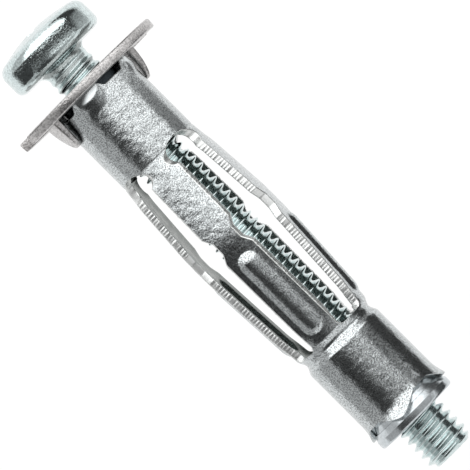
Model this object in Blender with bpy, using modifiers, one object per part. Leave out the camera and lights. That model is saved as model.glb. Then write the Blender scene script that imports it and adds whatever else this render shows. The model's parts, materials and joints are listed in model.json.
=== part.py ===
"""Hollow-wall anchor: a sheet-steel sleeve with four folding legs, a flange with two prongs,
a nut held in the sleeve's far end and a pan-head machine screw through all of them.

Everything is modelled along the anchor's own axis, local +Z, measured from the flange's back
face. A parent empty lays that axis along world +Y, so the screw's tip points into the wall.
Turning the screw draws the nut towards the flange, and the legs fold outwards at their creases.
"""

import math

import bmesh
import bpy
from mathutils import Matrix, Vector

MM = 0.001

# Screw
THREAD_R = 1.97 * MM
THREAD_DEPTH = 0.43 * MM
THREAD_PITCH = 0.70 * MM
SCREW_LENGTH = 40.0 * MM
TIP_CHAMFER = 0.50 * MM
NECK_LENGTH = 0.80 * MM
NECK_FILLET = 0.45 * MM
HEAD_R = 4.00 * MM
HEAD_HEIGHT = 3.00 * MM
HEAD_CROWN = 0.42 * MM
HEAD_TOP_EDGE = 0.90 * MM
HEAD_LOWER_EDGE = 0.60 * MM
HEAD_STANDOFF = 2.25 * MM
RECESS_SPAN = 4.20 * MM
RECESS_WIDTH = 0.95 * MM
RECESS_DEPTH = 1.90 * MM
RECESS_FLOOR_SPAN = 1.90 * MM

# Flange and its prongs
FLANGE_R = 6.50 * MM
FLANGE_T = 0.75 * MM
FLANGE_EDGE = 0.10 * MM
TAB_SEAT_DEPTH = 0.10 * MM
PRONG_R = 4.20 * MM
PRONG_T = 0.70 * MM
PRONG_WIDTH = 2.40 * MM
PRONG_LENGTH = 2.36 * MM
PRONG_TIP_WIDTH = 0.50 * MM
PRONG_TIP_T = 0.35 * MM
PRONG_LEAN = 0.40 * MM
PRONG_TURN = math.radians(27.5)

# Sleeve
SLEEVE_R = 3.40 * MM
SHEET = 0.57 * MM
WINDOW_HEIGHT = 0.50 * MM
TAB_WIDTH = 2.25 * MM
TAB_FLARE = 0.55 * MM
UPPER_CREASE = 6.85 * MM
UPPER_LEG = 7.75 * MM
LOWER_LEG = 10.00 * MM
KNEE_BULGE = 0.55 * MM
SLOT_WIDTH = 2.38 * MM
BULB_WIDTH = 2.94 * MM
BULB_ABOVE_CREASE = 0.24 * MM
BULB_LENGTH = 2.00 * MM
KNEE_NOTCH_DEPTH = 0.42 * MM
KNEE_NOTCH_LENGTH = 2.47 * MM
KNEE_NOTCH_FLAT = 1.00 * MM
BEAD_FROM_KNEE = 1.40 * MM
BEAD_LENGTH = 8.20 * MM
BEAD_WIDTH = 1.64 * MM
BEAD_HEIGHT = 0.25 * MM
BEAD_FLANK = 0.41 * MM
GROOVE_FROM_CREASE = 0.55 * MM
GROOVE_DEPTH = 0.27 * MM
GROOVE_LENGTH = 1.50 * MM
BARREL_LENGTH = 7.90 * MM
BARREL_FLARE = 0.29 * MM
BARREL_FLARE_LENGTH = 1.30 * MM
TONGUE_LENGTH = 0.95 * MM

# Nut
NUT_WALL = 0.45 * MM
NUT_RIM_R = 3.44 * MM
NUT_RIM_T = 0.78 * MM
NUT_RIM_EDGE = 0.22 * MM

# Clearances
CREASE_GAP = 0.20 * MM
SEAT_GAP = 0.05 * MM
NUT_SIDE_GAP = 0.08 * MM
NUT_THREAD_GAP = 0.33 * MM
FLANGE_HOLE_GAP = 0.02 * MM
PRONG_SLIT = 0.15 * MM
CUT_PAST = 1.00 * MM
WELD = 0.0001 * MM

LEGS = 4
ROUND_STEPS = 40
THREAD_STEPS = 10
EDGE_STEPS = 4
UPPER_LEG_ROWS = 14
LOWER_LEG_ROWS = 20
LEG_COLUMNS = 8
PRONG_ROWS = 6
GROOVE_ROWS = 8

# Places along the axis that follow from the sizes above
KNEE = UPPER_CREASE + UPPER_LEG
LOWER_CREASE = KNEE + LOWER_LEG
BARREL_END = LOWER_CREASE + BARREL_LENGTH
SLEEVE_INNER_R = SLEEVE_R - SHEET
NUT_BORE_R = THREAD_R + NUT_THREAD_GAP
NUT_R = NUT_BORE_R + NUT_WALL
BARREL_R = NUT_R + NUT_SIDE_GAP + SHEET
GROOVE_END = LOWER_CREASE + GROOVE_FROM_CREASE + GROOVE_LENGTH / 2.0
QUARTER_ARC = SLEEVE_R * 2.0 * math.pi / LEGS
SLOT_END = UPPER_CREASE - BULB_ABOVE_CREASE
BULB_MIDDLE = SLOT_END + BULB_LENGTH / 2.0
HEAD_UNDERSIDE = -(FLANGE_T + HEAD_STANDOFF)
SCREW_TIP = HEAD_UNDERSIDE + SCREW_LENGTH

ZINC_SLEEVE = (0.60, 0.60, 0.63)
ZINC_FLANGE = (0.55, 0.55, 0.55)
ZINC_NUT = (0.70, 0.72, 0.74)
ZINC_SCREW = (0.72, 0.76, 0.78)


def clear_scene():
    for item in list(bpy.data.objects):
        bpy.data.objects.remove(item, do_unlink=True)


def new_collection(name):
    collection = bpy.data.collections.new(name)
    bpy.context.scene.collection.children.link(collection)
    return collection


def metal(name, colour, roughness):
    material = bpy.data.materials.new(name)
    material.use_nodes = True
    shader = material.node_tree.nodes["Principled BSDF"]
    shader.inputs["Base Color"].default_value = (*colour, 1.0)
    shader.inputs["Roughness"].default_value = roughness
    shader.inputs["Metallic"].default_value = 1.0
    return material


def add_object(name, mesh, collection, axis, material=None):
    item = bpy.data.objects.new(name, mesh)
    collection.objects.link(item)
    item.parent = axis
    if material is not None and not mesh.materials:
        mesh.materials.append(material)
    return item


def add_cutter(name, mesh, cutters, axis):
    item = add_object(name, mesh, cutters, axis)
    item.hide_render = True
    item.display_type = "WIRE"
    return item


def boolean(item, other, operation):
    modifier = item.modifiers.new(f"{operation.lower()} {other.name}", "BOOLEAN")
    modifier.object = other
    modifier.operation = operation
    modifier.solver = "EXACT"


def mesh_of(bm, name):
    mesh = bpy.data.meshes.new(name)
    bm.to_mesh(mesh)
    bm.free()
    return mesh


def arc(centre_r, centre_z, radius, start, end, steps):
    """Points of a circular arc in the (r, z) half plane, angles in degrees."""
    points = []
    for step in range(steps + 1):
        angle = math.radians(start + (end - start) * step / steps)
        points.append((centre_r + radius * math.cos(angle), centre_z + radius * math.sin(angle)))
    return points


def profile_mesh(name, points, closed):
    """A profile in the XZ plane that runs down its outer side, for a Screw modifier."""
    bm = bmesh.new()
    verts = [bm.verts.new((r, 0.0, z)) for r, z in points]
    for first, second in zip(verts, verts[1:]):
        bm.edges.new((first, second))
    if closed:
        bm.edges.new((verts[-1], verts[0]))
    return mesh_of(bm, name)


def turn(item, steps):
    modifier = item.modifiers.new("turned", "SCREW")
    modifier.angle = 2.0 * math.pi
    modifier.steps = steps
    modifier.render_steps = steps
    modifier.use_merge_vertices = True
    modifier.merge_threshold = WELD


def box_mesh(name, low, high):
    bm = bmesh.new()
    bmesh.ops.create_cube(bm, size=1.0)
    size = [b - a for a, b in zip(low, high)]
    middle = [(a + b) / 2.0 for a, b in zip(low, high)]
    bmesh.ops.scale(bm, vec=size, verts=bm.verts)
    bmesh.ops.translate(bm, vec=middle, verts=bm.verts)
    return mesh_of(bm, name)


def cross_cutters(name, make_mesh, cutters, axis):
    """Two cutters along diameters midway between the legs, which together cut four places."""
    items = []
    for index in range(2):
        item = add_cutter(f"{name}_{index + 1}", make_mesh(f"{name}_{index + 1}"), cutters, axis)
        item.rotation_euler = (0.0, 0.0, math.pi / 4.0 + index * math.pi / 2.0)
        items.append(item)
    return items


def smooth_step(value):
    value = min(max(value, 0.0), 1.0)
    return value * value * (3.0 - 2.0 * value)


# Screw

def thread_mesh():
    """A long thread of the metric form with pointed ends, later trimmed to the screw's length."""
    pitch = THREAD_PITCH
    core = THREAD_R - THREAD_DEPTH
    flank = pitch * 5.0 / 16.0
    crest = pitch / 8.0
    points = [
        (THREAD_R, 0.0),
        (THREAD_R, -crest),
        (core, -crest - flank),
        (core, -pitch + flank),
        (THREAD_R, -pitch),
    ]
    profile = bpy.data.objects.new("thread_profile", profile_mesh("thread_profile", points, False))
    bpy.context.scene.collection.objects.link(profile)
    helix = profile.modifiers.new("helix", "SCREW")
    helix.angle = 2.0 * math.pi
    helix.steps = THREAD_STEPS
    helix.render_steps = THREAD_STEPS
    helix.screw_offset = pitch
    helix.iterations = math.ceil((SCREW_TIP - HEAD_UNDERSIDE) / pitch) + 2
    graph = bpy.context.evaluated_depsgraph_get()
    mesh = bpy.data.meshes.new_from_object(profile.evaluated_get(graph))
    bpy.data.objects.remove(profile, do_unlink=True)
    bm = bmesh.new()
    bm.from_mesh(mesh)
    bpy.data.meshes.remove(mesh)
    bmesh.ops.remove_doubles(bm, verts=bm.verts, dist=WELD)
    rims = [edge for edge in bm.edges if edge.is_boundary]
    middle = sum(vert.co.z for vert in bm.verts) / len(bm.verts)
    ends = bmesh.ops.extrude_edge_only(bm, edges=rims)["geom"]
    end_verts = [part for part in ends if isinstance(part, bmesh.types.BMVert)]
    lower_rim = [vert for vert in end_verts if vert.co.z < middle]
    upper_rim = [vert for vert in end_verts if vert.co.z > middle]
    for rim, past in ((lower_rim, -pitch), (upper_rim, pitch)):
        height = sum(vert.co.z for vert in rim) / len(rim) + past
        bmesh.ops.pointmerge(bm, verts=rim, merge_co=(0.0, 0.0, height))
    bmesh.ops.translate(bm, vec=(0.0, 0.0, HEAD_UNDERSIDE), verts=bm.verts)
    bmesh.ops.recalc_face_normals(bm, faces=bm.faces)
    return mesh_of(bm, "screw")


def head_profile():
    neck_r = THREAD_R - THREAD_DEPTH / 2.0
    under = HEAD_UNDERSIDE
    top = under - HEAD_HEIGHT
    points = [(0.0, under + NECK_LENGTH), (neck_r, under + NECK_LENGTH)]
    points += arc(neck_r + NECK_FILLET, under + NECK_FILLET, NECK_FILLET, 180.0, 270.0, EDGE_STEPS)
    points += arc(HEAD_R - HEAD_LOWER_EDGE, under - HEAD_LOWER_EDGE, HEAD_LOWER_EDGE, 90.0, 0.0, EDGE_STEPS)
    points += arc(
        HEAD_R - HEAD_TOP_EDGE,
        top + HEAD_CROWN + HEAD_TOP_EDGE,
        HEAD_TOP_EDGE,
        0.0,
        -90.0,
        EDGE_STEPS,
    )
    half_chord = HEAD_R - HEAD_TOP_EDGE
    crown_r = (half_chord ** 2 + HEAD_CROWN ** 2) / (2.0 * HEAD_CROWN)
    edge_angle = math.degrees(math.asin(half_chord / crown_r))
    points += arc(0.0, top + crown_r, crown_r, -90.0 + edge_angle, -90.0, EDGE_STEPS)[1:]
    points[-1] = (0.0, top)
    return points


def recess_wing_mesh(name):
    """One bar of the cross recess, narrowing towards its floor."""
    top = HEAD_UNDERSIDE - HEAD_HEIGHT
    bm = bmesh.new()
    bmesh.ops.create_cube(bm, size=1.0)
    for vert in bm.verts:
        deep = vert.co.z > 0.0
        span = RECESS_FLOOR_SPAN if deep else RECESS_SPAN
        vert.co.x *= span
        vert.co.y *= RECESS_WIDTH
        vert.co.z = top + RECESS_DEPTH if deep else top - CUT_PAST
    return mesh_of(bm, name)


def build_screw(parts, cutters, axis):
    screw = add_object("screw", thread_mesh(), parts, axis, metal("zinc_screw", ZINC_SCREW, 0.25))
    start = HEAD_UNDERSIDE + NECK_LENGTH / 2.0
    room = THREAD_R + CUT_PAST
    tip_r = THREAD_R - TIP_CHAMFER
    envelope_points = [
        (0.0, SCREW_TIP),
        (tip_r, SCREW_TIP),
        (room, SCREW_TIP - (room - tip_r)),
        (room, start),
        (0.0, start),
    ]
    envelope = add_cutter("thread_ends", profile_mesh("thread_ends", envelope_points, False), cutters, axis)
    turn(envelope, ROUND_STEPS)
    boolean(screw, envelope, "INTERSECT")
    head = add_cutter("pan_head", profile_mesh("pan_head", head_profile(), False), cutters, axis)
    turn(head, ROUND_STEPS)
    boolean(screw, head, "UNION")
    for index in range(2):
        name = f"recess_wing_{index + 1}"
        wing = add_cutter(name, recess_wing_mesh(name), cutters, axis)
        wing.rotation_euler = (0.0, 0.0, index * math.pi / 2.0)
        boolean(screw, wing, "DIFFERENCE")


# Flange

def prong_mesh(name):
    """A pointed tongue bent down from the plate: it narrows, thins and leans inwards to its tip."""
    root = -FLANGE_T / 2.0
    bm = bmesh.new()
    bmesh.ops.create_cube(bm, size=1.0)
    long_edges = [edge for edge in bm.edges if abs(edge.verts[0].co.z - edge.verts[1].co.z) > 0.5]
    bmesh.ops.subdivide_edges(bm, edges=long_edges, cuts=PRONG_ROWS - 1, use_grid_fill=True)
    for vert in bm.verts:
        share = vert.co.z + 0.5
        width = PRONG_WIDTH + (PRONG_TIP_WIDTH - PRONG_WIDTH) * share
        thick = PRONG_T + (PRONG_TIP_T - PRONG_T) * share
        outer = PRONG_R - PRONG_LEAN * share ** 3
        vert.co.x = outer - (0.5 - vert.co.x) * thick
        vert.co.y *= width
        vert.co.z = root + (PRONG_LENGTH - root) * share
    return mesh_of(bm, name)


def build_flange(parts, cutters, axis):
    hole_r = SLEEVE_INNER_R + FLANGE_HOLE_GAP
    edge = FLANGE_EDGE
    # A shallow pressed seat takes the sleeve's tabs; outside it the back face lies flat on the wall
    seat_r = max(SLEEVE_R + TAB_FLARE, PRONG_R) + SEAT_GAP
    points = [
        (hole_r, -TAB_SEAT_DEPTH),
        (seat_r, -TAB_SEAT_DEPTH),
        (seat_r, 0.0),
        (FLANGE_R - edge, 0.0),
        (FLANGE_R, -edge),
        (FLANGE_R, edge - FLANGE_T),
        (FLANGE_R - edge, -FLANGE_T),
        (hole_r, -FLANGE_T),
    ]
    flange = add_object(
        "flange_plate",
        profile_mesh("flange_plate", points, True),
        parts,
        axis,
        metal("zinc_flange", ZINC_FLANGE, 0.4),
    )
    turn(flange, ROUND_STEPS)
    slit = PRONG_WIDTH / 2.0 + PRONG_SLIT
    for index in range(2):
        notch = add_cutter(
            f"prong_slit_{index + 1}",
            box_mesh(
                f"prong_slit_{index + 1}",
                (PRONG_R, -slit, -FLANGE_T - CUT_PAST),
                (FLANGE_R + CUT_PAST, slit, CUT_PAST),
            ),
            cutters,
            axis,
        )
        prong = add_cutter(f"prong_{index + 1}", prong_mesh(f"prong_{index + 1}"), cutters, axis)
        notch.rotation_euler = (0.0, 0.0, index * math.pi - PRONG_TURN)
        prong.rotation_euler = (0.0, 0.0, index * math.pi - PRONG_TURN)
        boolean(flange, notch, "DIFFERENCE")
        boolean(flange, prong, "UNION")


# Sleeve

def build_collar(parts, cutters, axis, zinc):
    bottom = UPPER_CREASE - CREASE_GAP / 2.0
    flare_end = SLEEVE_R + TAB_FLARE
    flare_start = WINDOW_HEIGHT + TAB_FLARE / 2.0
    points = [(SLEEVE_R, bottom)]
    points += arc(flare_end, flare_start, TAB_FLARE, 180.0, 240.0, EDGE_STEPS)
    top = SEAT_GAP - TAB_SEAT_DEPTH
    points += [
        (flare_end, top),
        (SLEEVE_INNER_R, top),
        (SLEEVE_INNER_R, bottom),
    ]
    collar = add_object("collar_barrel", profile_mesh("collar_barrel", points, True), parts, axis, zinc)
    turn(collar, ROUND_STEPS)
    half_window = SLEEVE_R * math.sin((QUARTER_ARC - TAB_WIDTH) / SLEEVE_R / 2.0)
    reach = flare_end + CUT_PAST

    def window_mesh(name):
        return box_mesh(name, (-reach, -half_window, -CUT_PAST), (reach, half_window, WINDOW_HEIGHT))

    def bulb_mesh(name):
        bm = bmesh.new()
        bmesh.ops.create_cone(
            bm,
            cap_ends=True,
            segments=ROUND_STEPS // 2,
            radius1=0.5,
            radius2=0.5,
            depth=2.0 * reach,
            matrix=Matrix.Rotation(math.pi / 2.0, 4, "Y"),
        )
        bmesh.ops.scale(bm, vec=(1.0, BULB_WIDTH, BULB_LENGTH), verts=bm.verts)
        bmesh.ops.translate(bm, vec=(0.0, 0.0, BULB_MIDDLE), verts=bm.verts)
        return mesh_of(bm, name)

    relief_r = PRONG_R - PRONG_T - SEAT_GAP
    relief_half = SLEEVE_R
    for index in range(2):
        name = f"prong_relief_{index + 1}"
        relief_mesh = box_mesh(name, (relief_r, -relief_half, -CUT_PAST), (reach, relief_half, PRONG_LENGTH))
        relief = add_cutter(name, relief_mesh, cutters, axis)
        relief.rotation_euler = (0.0, 0.0, index * math.pi - PRONG_TURN)
        boolean(collar, relief, "DIFFERENCE")
    for cutter in cross_cutters("tab_window", window_mesh, cutters, axis):
        boolean(collar, cutter, "DIFFERENCE")
    for cutter in cross_cutters("slot_bulb", bulb_mesh, cutters, axis):
        boolean(collar, cutter, "DIFFERENCE")


def slot_half_width(z):
    """Half the gap between neighbouring legs: a straight slot with a wider round upper end."""
    from_bulb = (z - BULB_MIDDLE) / (BULB_LENGTH / 2.0)
    bulb = BULB_WIDTH / 2.0 * math.sqrt(max(0.0, 1.0 - from_bulb ** 2))
    straight = SLOT_WIDTH / 2.0 if z > BULB_MIDDLE else 0.0
    return max(bulb, straight)


def leg_half_width(z):
    """Half a leg's width measured round the sleeve, with the notch that makes the knee weak."""
    ramp = (KNEE_NOTCH_LENGTH - KNEE_NOTCH_FLAT) / 2.0
    from_flat = abs(z - KNEE) - KNEE_NOTCH_FLAT / 2.0
    notch = KNEE_NOTCH_DEPTH * (1.0 - smooth_step(from_flat / ramp))
    return QUARTER_ARC / 2.0 - slot_half_width(z) - notch


def bead_height(z, along):
    """Height of the pressed stiffening bead at a place on the lower leg."""
    half_width = BEAD_WIDTH / 2.0
    start = KNEE + BEAD_FROM_KNEE + half_width
    end = KNEE + BEAD_FROM_KNEE + BEAD_LENGTH - half_width
    past_end = max(start - z, 0.0, z - end)
    from_spine = math.hypot(past_end, along)
    return BEAD_HEIGHT * smooth_step((half_width - from_spine) / BEAD_FLANK)


def knee_inner_r():
    """Innermost radius of the leg's section at the knee, where its two halves hinge."""
    half_angle = leg_half_width(KNEE) / SLEEVE_R
    return KNEE_BULGE + SLEEVE_INNER_R * math.cos(half_angle)


def leg_mesh(name, low, high, rows, bulge, pivot, bead):
    """The outer skin of half a leg, a strip of the sleeve's round wall, about its pivot."""
    bm = bmesh.new()
    bmesh.ops.create_grid(bm, x_segments=LEG_COLUMNS, y_segments=rows, size=1.0)
    for vert in bm.verts:
        z = low + (high - low) * (vert.co.y + 1.0) / 2.0
        along = leg_half_width(z) * vert.co.x
        angle = along / SLEEVE_R
        radius = SLEEVE_R + (bead_height(z, along) if bead else 0.0)
        place = Vector((bulge(z) + radius * math.cos(angle), radius * math.sin(angle), z))
        vert.co = place - pivot
    return mesh_of(bm, name)


def add_leg(name, mesh, pivot, turn_angle, parts, axis, zinc):
    leg = add_object(name, mesh, parts, axis, zinc)
    spin = Matrix.Rotation(turn_angle, 4, "Z")
    leg.location = spin @ pivot
    leg.rotation_euler = (0.0, 0.0, turn_angle)
    solid = leg.modifiers.new("sheet", "SOLIDIFY")
    solid.thickness = SHEET
    solid.offset = -1.0
    solid.use_even_offset = True


def build_legs(parts, axis, zinc):
    half_gap = CREASE_GAP / 2.0
    upper_pivot = Vector((SLEEVE_R, 0.0, UPPER_CREASE))
    knee_pivot = Vector((knee_inner_r(), 0.0, KNEE))

    def upper_bulge(z):
        return KNEE_BULGE * (z - UPPER_CREASE) / UPPER_LEG

    def lower_bulge(z):
        return KNEE_BULGE * (LOWER_CREASE - z) / LOWER_LEG

    upper = leg_mesh(
        "upper_leg",
        UPPER_CREASE + half_gap,
        KNEE - half_gap,
        UPPER_LEG_ROWS,
        upper_bulge,
        upper_pivot,
        bead=False,
    )
    lower = leg_mesh(
        "lower_leg",
        KNEE + half_gap,
        LOWER_CREASE - half_gap,
        LOWER_LEG_ROWS,
        lower_bulge,
        knee_pivot,
        bead=True,
    )
    for index in range(LEGS):
        turn_angle = index * 2.0 * math.pi / LEGS
        add_leg(f"upper_leg_{index + 1}", upper, upper_pivot, turn_angle, parts, axis, zinc)
        add_leg(f"lower_leg_{index + 1}", lower, knee_pivot, turn_angle, parts, axis, zinc)


def barrel_radius(z):
    """Outer radius of the end barrel: rolled down on the nut past a groove, and flared at its end."""
    rolled = smooth_step((z - LOWER_CREASE) / (GROOVE_END - LOWER_CREASE))
    from_groove = (z - LOWER_CREASE - GROOVE_FROM_CREASE) / (GROOVE_LENGTH / 2.0)
    groove = GROOVE_DEPTH * (1.0 + math.cos(math.pi * min(abs(from_groove), 1.0))) / 2.0
    from_end = (z - BARREL_END + BARREL_FLARE_LENGTH) / BARREL_FLARE_LENGTH
    return SLEEVE_R + (BARREL_R - SLEEVE_R) * rolled - groove + BARREL_FLARE * max(from_end, 0.0)


def build_end_barrel(parts, cutters, axis, zinc):
    low = LOWER_CREASE + CREASE_GAP / 2.0
    places = [BARREL_END, BARREL_END - BARREL_FLARE_LENGTH]
    places += [GROOVE_END + (low - GROOVE_END) * row / GROOVE_ROWS for row in range(GROOVE_ROWS + 1)]
    outer = [(barrel_radius(z), z) for z in places]
    inner = [(barrel_radius(z) - SHEET, z) for z in reversed(places)]
    barrel = add_object("end_barrel", profile_mesh("end_barrel", outer + inner, True), parts, axis, zinc)
    turn(barrel, ROUND_STEPS)
    reach = BARREL_R + BARREL_FLARE + CUT_PAST

    def notch_mesh(name):
        bm = bmesh.new()
        bmesh.ops.create_cone(
            bm,
            cap_ends=True,
            segments=4,
            radius1=1.0,
            radius2=1.0,
            depth=2.0 * reach,
            matrix=Matrix.Rotation(math.pi / 2.0, 4, "Y"),
        )
        half_width = BARREL_R * math.sin(math.pi / LEGS)
        bmesh.ops.scale(bm, vec=(1.0, half_width, TONGUE_LENGTH), verts=bm.verts)
        bmesh.ops.translate(bm, vec=(0.0, 0.0, BARREL_END), verts=bm.verts)
        return mesh_of(bm, name)

    for cutter in cross_cutters("tongue_notch", notch_mesh, cutters, axis):
        boolean(barrel, cutter, "DIFFERENCE")


# Nut

def build_nut(parts, axis):
    start = GROOVE_END + SEAT_GAP
    flare = BARREL_END - BARREL_FLARE_LENGTH
    rim = BARREL_END + SEAT_GAP
    end = rim + NUT_RIM_T
    edge = NUT_RIM_EDGE
    points = [(NUT_BORE_R, end)]
    points += arc(NUT_RIM_R - edge, end - edge, edge, 90.0, 0.0, EDGE_STEPS)
    points += arc(NUT_RIM_R - edge, rim + edge, edge, 0.0, -90.0, EDGE_STEPS)
    points += [
        (NUT_R + BARREL_FLARE, rim),
        (NUT_R, flare),
        (NUT_R, start),
        (NUT_BORE_R, start),
    ]
    nut = add_object(
        "nut",
        profile_mesh("nut", points, True),
        parts,
        axis,
        metal("zinc_nut", ZINC_NUT, 0.3),
    )
    turn(nut, ROUND_STEPS)


def main():
    clear_scene()
    parts = new_collection("wall_anchor")
    cutters = new_collection("cutters")
    axis = bpy.data.objects.new("anchor_axis", None)
    parts.objects.link(axis)
    axis.rotation_euler = (-math.pi / 2.0, 0.0, 0.0)
    zinc = metal("zinc_sleeve", ZINC_SLEEVE, 0.35)
    build_flange(parts, cutters, axis)
    build_collar(parts, cutters, axis, zinc)
    build_legs(parts, axis, zinc)
    build_end_barrel(parts, cutters, axis, zinc)
    build_nut(parts, axis)
    build_screw(parts, cutters, axis)


main()
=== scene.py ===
"""Looks of a hollow-wall anchor: zinc-plated sheet sleeve with folding legs, pronged flange, nut and screw.

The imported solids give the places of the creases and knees. The sleeve is one sheet on the real anchor, so
it is rebuilt here as strips that meet at straight stretches of a leg and bend across one crease each.
"""

import json
import math

import bmesh
import bpy
import numpy as np
from bpy.props import FloatProperty, FloatVectorProperty, IntProperty, PointerProperty
from mathutils import Matrix, Vector


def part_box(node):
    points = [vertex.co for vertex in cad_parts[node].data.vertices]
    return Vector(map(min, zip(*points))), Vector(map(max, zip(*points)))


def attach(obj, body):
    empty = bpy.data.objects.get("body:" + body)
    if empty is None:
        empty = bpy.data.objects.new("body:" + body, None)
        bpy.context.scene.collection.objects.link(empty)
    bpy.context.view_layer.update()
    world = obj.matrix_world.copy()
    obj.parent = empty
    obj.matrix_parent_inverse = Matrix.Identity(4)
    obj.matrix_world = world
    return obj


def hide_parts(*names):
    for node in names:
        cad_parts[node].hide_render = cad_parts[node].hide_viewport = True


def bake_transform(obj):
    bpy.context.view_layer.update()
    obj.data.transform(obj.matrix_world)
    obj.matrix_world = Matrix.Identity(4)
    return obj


bl_info = {
    "name": "Hollow-wall anchor",
    "version": (1, 0, 0),
    "blender": (4, 5, 0),
    "location": "View3D > Sidebar > Anchor",
    "description": "Builds the visible pieces of a hollow-wall anchor around its packed solids",
    "category": "Add Mesh",
}

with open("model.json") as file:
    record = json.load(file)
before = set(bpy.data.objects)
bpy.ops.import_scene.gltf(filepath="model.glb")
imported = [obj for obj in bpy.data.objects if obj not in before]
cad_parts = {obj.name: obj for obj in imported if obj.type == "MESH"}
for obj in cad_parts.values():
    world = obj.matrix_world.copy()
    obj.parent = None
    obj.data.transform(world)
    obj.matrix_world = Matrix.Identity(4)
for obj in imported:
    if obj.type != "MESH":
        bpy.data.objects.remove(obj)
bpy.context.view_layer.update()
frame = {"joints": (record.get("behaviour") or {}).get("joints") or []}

MM = 0.001
LEGS = (1, 2, 3, 4)
JOINTS = {joint["name"]: joint for joint in frame["joints"]}
CREASE = JOINTS["upper_fold_1"]["pos_m"][1]
KNEE = JOINTS["knee_1"]["pos_m"][1]
LOWER_CREASE = JOINTS["end_fold_1"]["pos_m"][1]
SLEEVE_R = JOINTS["upper_fold_1"]["pos_m"][0]
BARREL_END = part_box("end_barrel")[1].y
NUT_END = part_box("nut")[1].y
NUT_RIM_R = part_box("nut")[1].x
HEAD_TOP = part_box("screw")[0].y
HEAD_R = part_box("screw")[1].z
SCREW_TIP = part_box("screw")[1].y
FLANGE_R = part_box("flange_plate")[1].z
FLANGE_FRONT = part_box("flange_plate")[0].y
PRONG_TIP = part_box("flange_plate")[1].y


def length(name, description, millimetres):
    return FloatProperty(
        name=name, description=description, default=millimetres * MM, unit="LENGTH", precision=5,
    )


def turn(name, description, degrees):
    return FloatProperty(
        name=name, description=description, default=math.radians(degrees), subtype="ANGLE", unit="ROTATION",
    )


def colour(name, description, hex_value):
    return FloatVectorProperty(
        name=name, description=description, default=linear(hex_value), subtype="COLOR",
        size=4, min=0.0, max=1.0,
    )


def linear(hex_value):
    """sRGB hex to linear RGBA."""
    channels = []
    for start in (1, 3, 5):
        value = int(hex_value[start:start + 2], 16) / 255.0
        channels.append(value / 12.92 if value <= 0.04045 else ((value + 0.055) / 1.055) ** 2.4)
    return (*channels, 1.0)


class AnchorSleeveSizes(bpy.types.PropertyGroup):
    """Sizes of the folded sheet sleeve."""

    sheet: length("Sheet", "Thickness of the sleeve's sheet", 0.57)
    edge: length("Edge", "Radius on the sheared edges", 0.09)
    rib_pitch: length("Rib pitch", "Distance between the ribs across a sheared edge", 0.26)
    rib_depth: length("Rib depth", "How far the ribs stand in and out of a sheared edge", 0.12)
    slant: length("Slant", "How much narrower a leg is outside than inside", 0.20)
    tab_width: length("Tab width", "Width of a tab staked into the flange", 2.90)
    tab_bulge: length("Tab bulge", "How far a tab is staked out against the flange", 0.20)
    bulge_width: length("Bulge width", "Width of a tab's staked bulge at the flange", 2.35)
    bulge_length: length("Bulge length", "How far a staked bulge's top reaches from the flange", 0.58)
    bulge_fall: length("Bulge fall", "Length over which a staked bulge falls back to the sheet", 1.00)
    window: length("Window", "Height of the openings between the tabs", 0.50)
    slot: length("Slot", "Gap between neighbouring legs", 2.18)
    bulb_width: length("Bulb width", "Width of the slot's rounded upper end", 2.84)
    bulb_length: length("Bulb length", "Length of the slot's rounded upper end", 2.00)
    bulb_above: length("Bulb above crease", "How far the slot starts above the crease", 0.24)
    slot_end: length("Slot end", "How far the slot runs past the lower crease", 0.12)
    slot_corner: length("Slot corner", "Corner radius of the slot's lower end", 0.45)
    leg_r: length("Leg radius", "Radius of a leg's flattened section", 10.50)
    flatten: length("Flattening", "Length over which a leg turns from round to flat", 2.20)
    knee_bulge: length("Knee bulge", "How far the knees stand out of the sleeve", 0.55)
    knee_notch: length("Knee notch", "Depth of the notch at each side of a knee", 0.42)
    notch_length: length("Notch length", "Length of the knee notch at the leg's edge", 2.47)
    notch_flat: length("Notch flat", "Length of the knee notch at its narrowest", 1.00)
    bead_start: length("Bead start", "Distance of the stiffening bead from the knee", 1.58)
    bead_length: length("Bead length", "Length of the stiffening bead", 7.80)
    bead_width: length("Bead width", "Width of the stiffening bead", 1.64)
    bead_height: length("Bead height", "How far the bead is pressed out", 0.25)
    bead_fillet: FloatProperty(
        name="Bead fillet", description="Roundness of the bead's foot as a share of its height",
        default=0.16, min=0.0,
    )
    crease_depth: length("Crease depth", "Depth of the line pressed at a leg's upper crease", 0.045)
    crease_width: length("Crease width", "Width of the line pressed at a leg's upper crease", 0.12)
    groove_depth: length("Groove depth", "Depth of the groove rolled above the nut", 0.27)
    groove_place: length("Groove place", "Distance of the groove from the lower crease", 0.58)
    groove_length: length("Groove length", "Length of the groove", 1.50)
    flare: length("Flare", "How far the tongues bend out over the nut", 0.29)
    flare_length: length("Flare length", "Length over which the tongues bend out", 1.30)
    tongue: length("Tongue", "Depth of the notches between the tongues", 0.86)


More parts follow.
